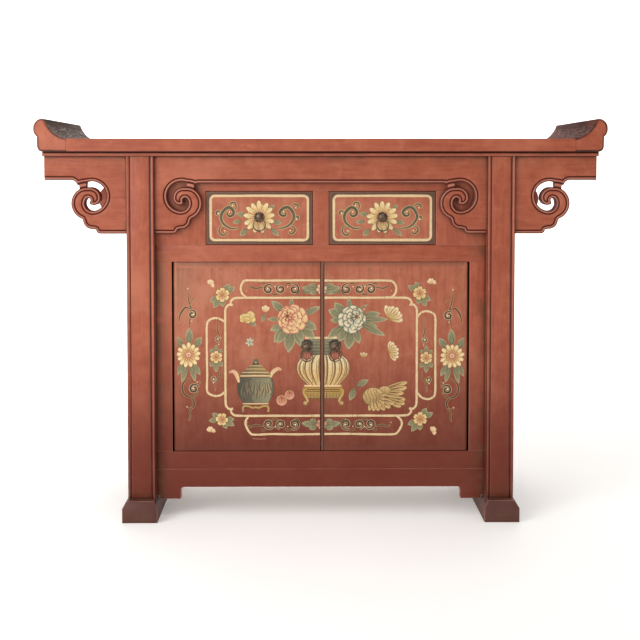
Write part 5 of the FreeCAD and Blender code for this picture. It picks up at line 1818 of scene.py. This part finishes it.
    def _peony(self, radius: float, line: Pigment, root: Pigment, tip: Pigment, heart: Pigment, lean: Point) -> None:
        """A full flower of many cupped petals round an off-centre heart.

        Args:
            radius: Its radius.
            line: Colour of the lines between the petals.
            root: Colour at the petals' roots.
            tip: Colour at their tips.
            heart: Colour of the heart.
            lean: Where the heart is.
        """
        home = self.origin
        rings = ((0, 9, 1.0, 0.6, 0), (1 / 3, 7, 0.76, 0.56, 20), (2 / 3, 5, 0.54, 0.5, 5))
        for share, count, reach, width, shift in rings:
            self.origin = (home[0] + lean[0] * share * 0.9, home[1] + lean[1] * share * 0.9)
            for n in range(count):
                turn = shift + 360 * n / count + self.hand.uniform(-6, 6)
                far = radius * reach * self.hand.uniform(0.93, 1.03)
                wide = radius * width * self.hand.uniform(0.95, 1.15)
                self.petal(turn, radius * 0.1, far + 0.9, wide + 1.7, line, line.thin(0.9))
                self.petal(turn, radius * 0.14, far, wide, line, root, radius * 0.035)
                self.petal(turn, radius * 0.2, far - radius * 0.05, wide * 0.76, root, tip, radius * 0.03)
                self.petal(turn, radius * 0.2, far * 0.7, wide * 0.26, line.thin(0.8), root.thin(0.5))
        self.origin = (home[0] + lean[0], home[1] + lean[1])
        self.disc(0, 0, radius * 0.25, heart, heart.thin(0.9), 1.15)
        for n in range(7):
            self.petal(360 * n / 7 + 12, radius * 0.07, radius * 0.27, radius * 0.13, line, tip)
        self.origin = home
        for turn, near, far in ((-48, 0.22, 0.62), (-80, 0.3, 0.72), (-14, 0.2, 0.6)):
            self.petal(turn, radius * near, radius * far + 0.8, radius * 0.3 + 1.6, line, line)
            self.petal(turn, radius * near, radius * far, radius * 0.3, root, tip)

    def _fan(self, radius: float, count: int, spread: float, turn: float) -> None:
        """A half-open flower seen from the side, its petals in a fan.

        Args:
            radius: Length of the petals.
            count: How many there are.
            spread: Angle between the outer ones in degrees.
            turn: Direction of the middle one in degrees.
        """
        for n in sorted(range(count), key=lambda n: -abs(n - (count - 1) / 2)):
            angle = turn + spread * (n / (count - 1) - 0.5) + self.hand.uniform(-3, 3)
            far = radius * self.hand.uniform(0.92, 1.05)
            self.petal(angle, 1, far + 0.9, radius * 0.42, UMBER.thin(0.8), ROSE.thin(0.85))
            self.petal(angle, 1.5, far, radius * 0.36, GOLD, PALE)
            self.petal(angle, radius * 0.3, far * 0.8, radius * 0.1, OLIVE.thin(0.7), BUTTER.thin(0.6))

    def _loose_flowers(self) -> None:
        """Blossoms, buds and butterflies in the open field and the corners."""
        self.at(-172, 446)
        for x in (-2, 8, 18):
            sag = 0.03 * (x - 8) ** 2
            self.disc(x, -1.5 + sag, 8.4, UMBER.thin(0.7), None, 0.62)
            self.disc(x, -1.0 + sag, 7.4, PALE, BUTTER, 0.62)
        self.at(-168, 447)
        self.leaf(-28, 8, 25, 9)
        for turn, near, far, width in ((12, 2, 21, 15), (165, 0, 15, 13), (52, 0, 24, 18), (132, 0, 18, 16),
                                       (92, 0, 16, 17), (75, -4, 8, 13)):
            self.petal(turn, near, far + 0.9, width + 1.8, ROSE, UMBER.thin(0.9))
            self.petal(turn, near, far, width, GOLD, STRAW, 0.8)
        self.at(-125.8, 464.5)
        self.leaf(-110, 2, 22, 8)
        self.bud(16, 84)
        for x, z, *fan in ((154, 449, 32, 7, 104, 52), (153, 374, 25, 7, 128, 18), (96, 362, 13, 3, 70, 80)):
            self.at(x, z)
            self._fan(*fan)
        self.at(-161, 397.5)
        for turn in (35, 80, 125, 200, 255, 320):
            self.petal(turn, 0.5, 10.5, 7.0, SLATE.thin(0.8), MIST, -1)
            self.petal(turn, 1, 8.5, 4.6, MIST, PALE, -1)
        for size, *place in ((16.5, -222.0, 505.0, 0, 1), (15.5, 223.4, 508.6, -8, -1), (14.5, -224.2, 221.6, 28, -1),
                             (16.0, 225.6, 221.8, 0, 1)):
            self.at(*place)
            self.spray(size)
        for x, z, turn in ((-250, 526, 82), (251.5, 529, 118), (-248, 192, 115), (252, 191, 66)):
            self.at(x, z)
            self.bud(13.5, turn)
            self.bud(10, turn - 70)

    def _door_wear(self) -> None:
        """Thin dark wear streaks over the doors, darker bands along their top and bottom edges, and the worn bare bead
        where the doors meet, with dark lines in its groove and beside the gap.
        """
        for _ in range(44):
            x, z = self.hand.uniform(-320, 320), self.hand.uniform(190, 560)
            reach, sway = self.hand.uniform(14, 70), self.hand.uniform(-1.5, 1.5)
            self.stroke([(x, z), (x + sway, z - reach * 0.5), (x - sway, z - reach)], [0.3, 1.0, 0.3],
                        MARGIN.thin(self.hand.uniform(0.15, 0.4)))
        top, low, out = 579.0, 149.5, 334.2
        for edge, depth, worn in ((top, -13, MARGIN.thin(0.62)), (low, 15, WINE.thin(0.5))):
            self.area([(-out, edge), (out, edge), (out, edge + depth), (-out, edge + depth)], worn, MARGIN.thin(0.0),
                      (0, edge), (0, edge + depth))
        # Dark lines in the bead's groove and beside the meeting gap: painted shade with some soiling.
        for left, right, first, second in ((0.2, 8.4, BARE_EDGE.thin(0.95), BARE_EDGE.thin(0.85)),
                                           (6.2, 7.8, INK.thin(0.95), None), (0.2, 1.7, INK.thin(0.9), None)):
            self.area([(left, low), (right, low), (right, top), (left, top)], first, second, (0, 0), (8, 0))


class DrawerPainting(Painting):
    """Ornament of one drawer front, laid out from its ring pull."""

    def design(self, low: Point, high: Point, pull: Point) -> list[Dab]:
        """Paint the border, the daisy behind the pull and the scrolls beside it.

        Args:
            low: Lower left corner of the front.
            high: Upper right corner.
            pull: Middle of the pull.

        Returns:
            All dabs, the last ones on top.
        """
        self._border(low, high)
        for side, arm, tips, leaves in (
            (-1,
             ((46, -24), (63, -25.6), (80, -15.4), (86, -1.7), (82, 12), (70, 22), (60, 17), (58, 7), (66.5, 1.7),
              (72.5, 8), (67, 12)),
             (((57, 13), (52, 22), (54, 31), (61, 33), (64.5, 28), (60, 26)),
              ((84.5, 6), (90, 14), (96.5, 11), (95, 6), (92, 8)),
              ((78, -19), (88, -22), (90, -34), (81.5, -41), (74, -36), (78, -31))),
             ((9, 28, 52, 10), (-12, 40, 60, 9), (-44, 38, 60, 11))),
            (1,
             ((40, -25), (55, -24), (68, -17), (77.5, -3), (76, 10), (67, 21), (56, 21), (46.5, 12), (50, 4),
              (58, 3.4), (60, 9), (55, 12)),
             (((68, 20), (77, 29), (85, 28), (87.5, 23), (82, 21)), ((77.5, -3), (84, 2), (88.5, -2), (84, -5)),
              ((66, -20), (77, -22), (80.5, -30), (73, -37.5), (67, -34), (70, -30))),
             ((38, 28, 43, 9), (-16, 32, 51, 10), (-44, 36, 61, 10))),
        ):
            self.at(*pull, 0, side)
            for path in tips:
                self._scroll(path, 4.2)
            self._scroll(arm, 7.0)
            for leaf in leaves:
                self.leaf(*leaf)
        self.at(*pull)
        self._sun_flower()
        return self.dabs

    def _border(self, low: Point, high: Point) -> None:
        """A dark margin and a cream line with rounded corners.

        Args:
            low: Lower left corner of the front.
            high: Upper right corner.
        """
        inset, corner = 9.8, 9.0
        x0, z0, x1, z1 = low[0] + inset, low[1] + inset, high[0] - inset, high[1] - inset
        outer, inner = (low, (high[0], low[1]), high, (low[0], high[1])), ((x0, z0), (x1, z0), (x1, z1), (x0, z1))
        for outline in (
            [outer[0], outer[1], inner[1], inner[0]], [inner[3], inner[2], outer[2], outer[3]],
            [outer[0], inner[0], inner[3], outer[3]], [inner[1], outer[1], outer[2], inner[2]],
        ):
            self.area(outline, MARGIN.thin(0.9))
        half_x, half_z = (x0 + x1) / 2, (z0 + z1) / 2
        path: list[Point] = [(half_x, z0)]
        for cx, cz, first, after in (
            (x1 - corner, z0 + corner, -90, [(x1, half_z)]),
            (x1 - corner, z1 - corner, 0, [(half_x + 60, z1), (half_x, z1 + 0.4), (half_x - 60, z1)]),
            (x0 + corner, z1 - corner, 90, [(x0, half_z)]),
            (x0 + corner, z0 + corner, 180, [(half_x, z0)]),
        ):
            turns = [math.radians(first + turn) for turn in (0, 22, 45, 68, 90)]
            path += [(cx + corner * math.cos(turn), cz + corner * math.sin(turn)) for turn in turns] + after
        self.band(path, 5.4)

    def _scroll(self, path: Sequence[Point], width: float) -> None:
        """A dark tendril with cream edges that ends in a pale dot.

        Args:
            path: Points of its middle line.
            width: Width where it is thickest.
        """
        points = smooth_path(path)
        swell = width * swelling(len(points), 0.12, 0.8)
        self.stroke(points, swell + 1.9, BUTTER.thin(0.92))
        self.stroke(points, swell - 0.2, SLATE, MOSS)
        self.disc(*points[-1], 1.6, PALE)

    def _sun_flower(self) -> None:
        """The large daisy with pointed petals that the pull sits on."""
        for shift, share, tip in ((0.5, 0.8, BUTTER), (0.0, 1.0, STRAW)):
            for n in range(13):
                turn = 90 + (n + shift) * 360 / 13 + self.hand.uniform(-4, 4)
                far = 36.5 * share * self.hand.uniform(0.94, 1.03)
                self.petal(turn, 6, far + 0.9, 12.6, ROSE, UMBER.thin(0.85))
                self.petal(turn, 7, far, 10.6, BUTTER, tip)
                self.petal(turn, 16, far - 1.5, 5.4, BUTTER, PALE)
                self.petal(turn, 9, far * 0.58, 2.6, ROSE.thin(0.85), BUTTER.thin(0.9), -1)
        self.disc(0, 0, 12.5, BLUSH, ROSE)


@dataclass
class PaintedFront:
    """Doors and drawer fronts with their ornament."""

    shop: Workshop
    door_half: float = 334.0

    def build(self) -> None:
        """Paint and build the four boards."""
        doors = CabinetPainting(11).design()
        for name, side in (("left", -1), ("right", 1)):
            node = f"{name}_door_board"
            low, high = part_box(node)
            x0, x1 = sorted((side * self.door_half, low[0] / MM if side > 0 else high[0] / MM))
            z0, z1 = low[2] / MM + PIVOT_REACH, high[2] / MM - PIVOT_REACH
            dabs = [dab for dab in doors if dab.touches((x0, z0), (x1, z1))]
            board = PaintedBoard((x0, z0), (x1, z1), low[1], (high[1] - low[1]) / MM, dabs, side, min(0, -side))
            mesh = board.mesh(f"{name}_door_painted")
            add_pivots(mesh, side * PIVOT_PLACE, low[1] / MM + PIVOT_DEPTH, (z0, z1))
            self._place(mesh, node)
            node = f"{name}_drawer_front"
            low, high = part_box(node)
            corners = (low[0] / MM, low[2] / MM), (high[0] / MM, high[2] / MM)
            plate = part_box(f"{name}_drawer_pull_plate")
            pull = ((plate[0][0] + plate[1][0]) / 2 / MM, plate[1][2] / MM - Pull.plate_radius)
            dabs = DrawerPainting(21 + side).design(*corners, pull)
            board = PaintedBoard(*corners, low[1], (high[1] - low[1]) / MM, dabs)
            self._place(board.mesh(f"{name}_drawer_painted"), node)

    def _place(self, mesh: bpy.types.Mesh, node: str) -> None:
        """Put a board in its node's place, painted in front and bare behind."""
        item = self.shop.piece(mesh.name, mesh, PAINTED_LACQUER, node)
        item.data.materials.append(BARE_Z.material())


PIVOT_REACH = 10.0
PIVOT_PLACE = 325.0
PIVOT_DEPTH = 9.0
PIVOT_RADIUS = 4.0


def add_pivots(mesh: bpy.types.Mesh, x: float, y: float, ends: Point) -> None:
    """Add the two round wooden pivots that a door swings on.

    Args:
        mesh: Mesh of the door board.
        x: Their place across.
        y: Their place in depth.
        ends: Lower and upper end of the board.
    """
    work = bmesh.new()
    work.from_mesh(mesh)
    radius, reach, sunk = PIVOT_RADIUS, PIVOT_REACH, 3.0
    profile = ((radius, -sunk), (radius, reach - 0.8), (radius * 0.85, reach))
    for end, way in ((ends[0], -1), (ends[1], 1)):
        add_turned(work, profile, 24, lambda u, v, w: ((x + u) * MM, (y + v) * MM, (end + way * w) * MM))
    closed_mesh(mesh, work)


class Studio:
    """Pale floor, soft light and a camera where the photographer stood."""

    camera_place: ClassVar[Place] = (-0.037, -2.701, 0.796)
    pitch: ClassVar[float] = 2.60
    yaw: ClassVar[float] = 0.50
    lens: ClassVar[float] = 63.48
    shift: ClassVar[tuple[float, float]] = (0.009, -0.161)

    def build(self) -> None:
        """Set up floor, lights and camera."""
        self._camera()
        self._floor()
        self._lights()
        LOG.info("set up the studio")

    def _camera(self) -> None:
        """Camera at the photograph's viewing angle."""
        data = bpy.data.cameras.new("camera")
        data.lens = self.lens
        data.sensor_width = 36.0
        data.shift_x, data.shift_y = self.shift
        camera = new_object("camera", data)
        camera.location = self.camera_place
        camera.rotation_euler = (math.radians(90 - self.pitch), 0.0, math.radians(-self.yaw))
        bpy.context.scene.camera = camera

    def _floor(self) -> None:
        """A pale sweep that runs from the floor up behind the table."""
        half_width, front, back, rise, bend = 7.0, -5.0, 3.2, 5.0, 1.2
        steps = 24
        profile = [(front, 0.0), (back - bend, 0.0)]
        for step in range(1, steps + 1):
            angle = math.pi / 2 * step / steps
            profile.append((back - bend + bend * math.sin(angle), bend - bend * math.cos(angle)))
        profile.append((back, rise))
        points = [(side * half_width, y, z) for y, z in profile for side in (-1, 1)]
        faces = [(2 * n, 2 * n + 1, 2 * n + 3, 2 * n + 2) for n in range(len(profile) - 1)]
        mesh = bpy.data.meshes.new("floor")
        mesh.from_pydata(points, [], faces)
        mesh.shade_smooth()
        board = ShadeBoard("pale_floor")
        cloud = board.noise(board.spot(), 2.0, 3.0, 0.5)
        colour = board.blend(cloud, tint("F4F3F1"), tint("FBFAF8"))
        glow = {"Emission Color": colour, "Emission Strength": 0.25}
        mesh.materials.append(board.finish(colour, cloud * 0.1 + 0.75, board.bumps(cloud, 0.05, 0.001), glow))
        new_object("floor", mesh)

    def _lights(self) -> None:
        """Soft light from the upper left, a window, light from above and a bright room."""
        white = (1.0, 1.0, 1.0)
        for name, place, aim, size, power, colour in (
            ("key_light", (-2.1, -2.1, 1.65), (-0.15, -0.1, 0.6), 1.5, 48.0, (1.0, 0.98, 0.95)),
            ("window_light", (-1.1, -3.0, 1.3), (-0.2, 0.0, 0.7), 1.2, 9.0, (0.95, 0.99, 1.0)),
            ("ceiling_light", (0.0, -0.9, 3.3), (0.0, -0.9, 0.0), 3.4, 24.0, white),
            ("backdrop_light", (0.0, 1.7, 2.6), (0.0, 3.2, 2.0), 3.0, 110.0, white),
        ):
            data = bpy.data.lights.new(name, "AREA")
            data.energy, data.size, data.color = power, size, colour
            light = new_object(name, data)
            light.location = place
            light.rotation_euler = (Vector(aim) - Vector(place)).to_track_quat("-Z", "Y").to_euler()
        world = bpy.data.worlds.new("room")
        world.use_nodes = True
        background = world.node_tree.nodes["Background"].inputs
        background["Color"].default_value = (*white, 1.0)
        background["Strength"].default_value = 0.42
        bpy.context.scene.world = world
        bpy.context.scene.view_settings.view_transform = "Standard"


LACQUER_X = Lacquer("lacquer_along", Grain.ALONG_X)
LACQUER_Y = Lacquer("lacquer_across", Grain.ALONG_Y)
LACQUER_Z = Lacquer("lacquer_upright", Grain.ALONG_Z)
# The rail behind the apron and the drawer flanks take less painted shade and soiling in their hollows.
RAIL_LACQUER = Lacquer("lacquer_rail", Grain.ALONG_X, soil_and_shade_amount=0.4)
FLANK_LACQUER = Lacquer("lacquer_flank", Grain.ALONG_Z, soil_and_shade_amount=0.5)
FOOT_LACQUER = Lacquer("lacquer_feet", Grain.ALONG_Y, red="8E6055", deep="6A3E35", rosy="9C7C74", low_shade_red="53302B")
GLUED_LACQUER = Lacquer("lacquer_glued", Grain.ALONG_X, glue_line=(0.7257, -0.474, -0.434))
# Dark eased edges on the top: painted edge shade with some soiling.
TOP_LACQUER = Lacquer(
    "lacquer_top", Grain.ALONG_X, edge="4A3026", edge_wear_and_light_share=0.85, bare=("2B150F", "55301F", "6E5044"),
)
# Dark lines in the posts' grooves, wider in the groove on the side away from the light: painted shadow with some
# soiling.
POST_LACQUER = Lacquer(
    "lacquer_posts",
    Grain.ALONG_Z,
    upright_lines=(
        (-0.4255, 0.0021), (-0.3810, 0.0032), (-0.4340, 0.0014), (-0.3720, 0.0014),
        (0.3805, 0.0024), (0.4250, 0.0032), (0.4340, 0.0014), (0.3720, 0.0014),
    ),
)
# The everted ends share one finish in two tints: the left one paler and greyer as a painted reflection of the bright
# room.
LEFT_END_SHEEN_LACQUER = Lacquer(
    "lacquer_left_end_painted_sheen", Grain.ALONG_Y, edge="35190F", edge_wear_and_light_share=0.95, bare=("2E211B", "5F4A3F", "A4948C"),
)
RIGHT_END_LACQUER = Lacquer(
    "lacquer_right_end", Grain.ALONG_Y, edge="35190F", edge_wear_and_light_share=0.95, bare=("2A110D", "582F28", "7A5A52"),
)
PAINTED_LACQUER = Lacquer(
    "painted_lacquer", Grain.ALONG_Z, red="B2694D", deep="9A4E36", rosy="BC7F63", low_shade_red="561C13", painted=True,
)
BARE_X = BareWood("bare_wood_along", Grain.ALONG_X)
BARE_Y = BareWood("bare_wood_across", Grain.ALONG_Y)
BACK_BOARDS = BareWood("bare_wood_back", Grain.ALONG_X, "Z")
SHELF_BOARDS = BareWood("bare_wood_shelf", Grain.ALONG_X, "Y")
BARE_Z = BareWood("bare_wood_upright", Grain.ALONG_Z)
BRASS = AgedBrass("aged_brass")


@dataclass
class Woodwork:
    """The plain joinery: pieces that keep their packed outline."""

    shop: Workshop
    lacquered: ClassVar[dict[Lacquer, str]] = {
        LACQUER_X: "front_moulding back_moulding middle_rail bottom_rail back_apron front_skirt",
        LACQUER_Y: "end_mouldings end_aprons side_rails",
        LACQUER_Z: "left_door_stile right_door_stile drawer_divider left_side_panel right_side_panel",
        POST_LACQUER: "front_left_post front_right_post back_left_post back_right_post",
        FOOT_LACQUER: "left_sled_foot right_sled_foot",
        RAIL_LACQUER: "top_rail",
        FLANK_LACQUER: "drawer_flank_boards",
    }
    bare: ClassVar[dict[BareWood, str]] = {
        BACK_BOARDS: "back_panel",
        BARE_X: "back_rails left_door_ledges right_door_ledges left_drawer_back right_drawer_back",
        BARE_Y: "top_battens drawer_runners left_drawer_sides right_drawer_sides left_drawer_bottom "
                "right_drawer_bottom",
        SHELF_BOARDS: "cabinet_floor dust_board",
    }

    def build(self) -> None:
        """Ease and finish every plain board."""
        for finish, nodes in self.lacquered.items():
            for node in nodes.split():
                self.shop.eased(node, finish)
        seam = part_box("right_everted_end")[0].x
        for node in ("top_panel", "top_front_rail", "top_back_rail"):
            self.shop.eased(node, TOP_LACQUER, 1.9 * MM, seam, held=False)
        # Bands round the faces of the everted ends take their dark edge tint: painted edge shade with some soiling.
        rims = ((1.8 * MM, 1.0), (1.6 * MM, 0.6))
        self.shop.eased("left_everted_end", LEFT_END_SHEEN_LACQUER, 1.9 * MM, seam, rims)
        self.shop.eased("right_everted_end", RIGHT_END_LACQUER, 1.9 * MM, seam, rims)
        for finish, nodes in self.bare.items():
            for node in nodes.split():
                self.shop.coat(node, finish)


def main() -> None:
    """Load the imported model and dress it."""
    logging.basicConfig(level=logging.INFO, format="%(message)s")
    random.seed(7)
    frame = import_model()
    shop = Workshop(frame)
    Woodwork(shop).build()
    ScrollWork(shop).build()
    PaintedFront(shop).build()
    Pull(shop).build()
    Studio().build()
    bpy.context.view_layer.update()


if __name__ == "__main__":
    main()
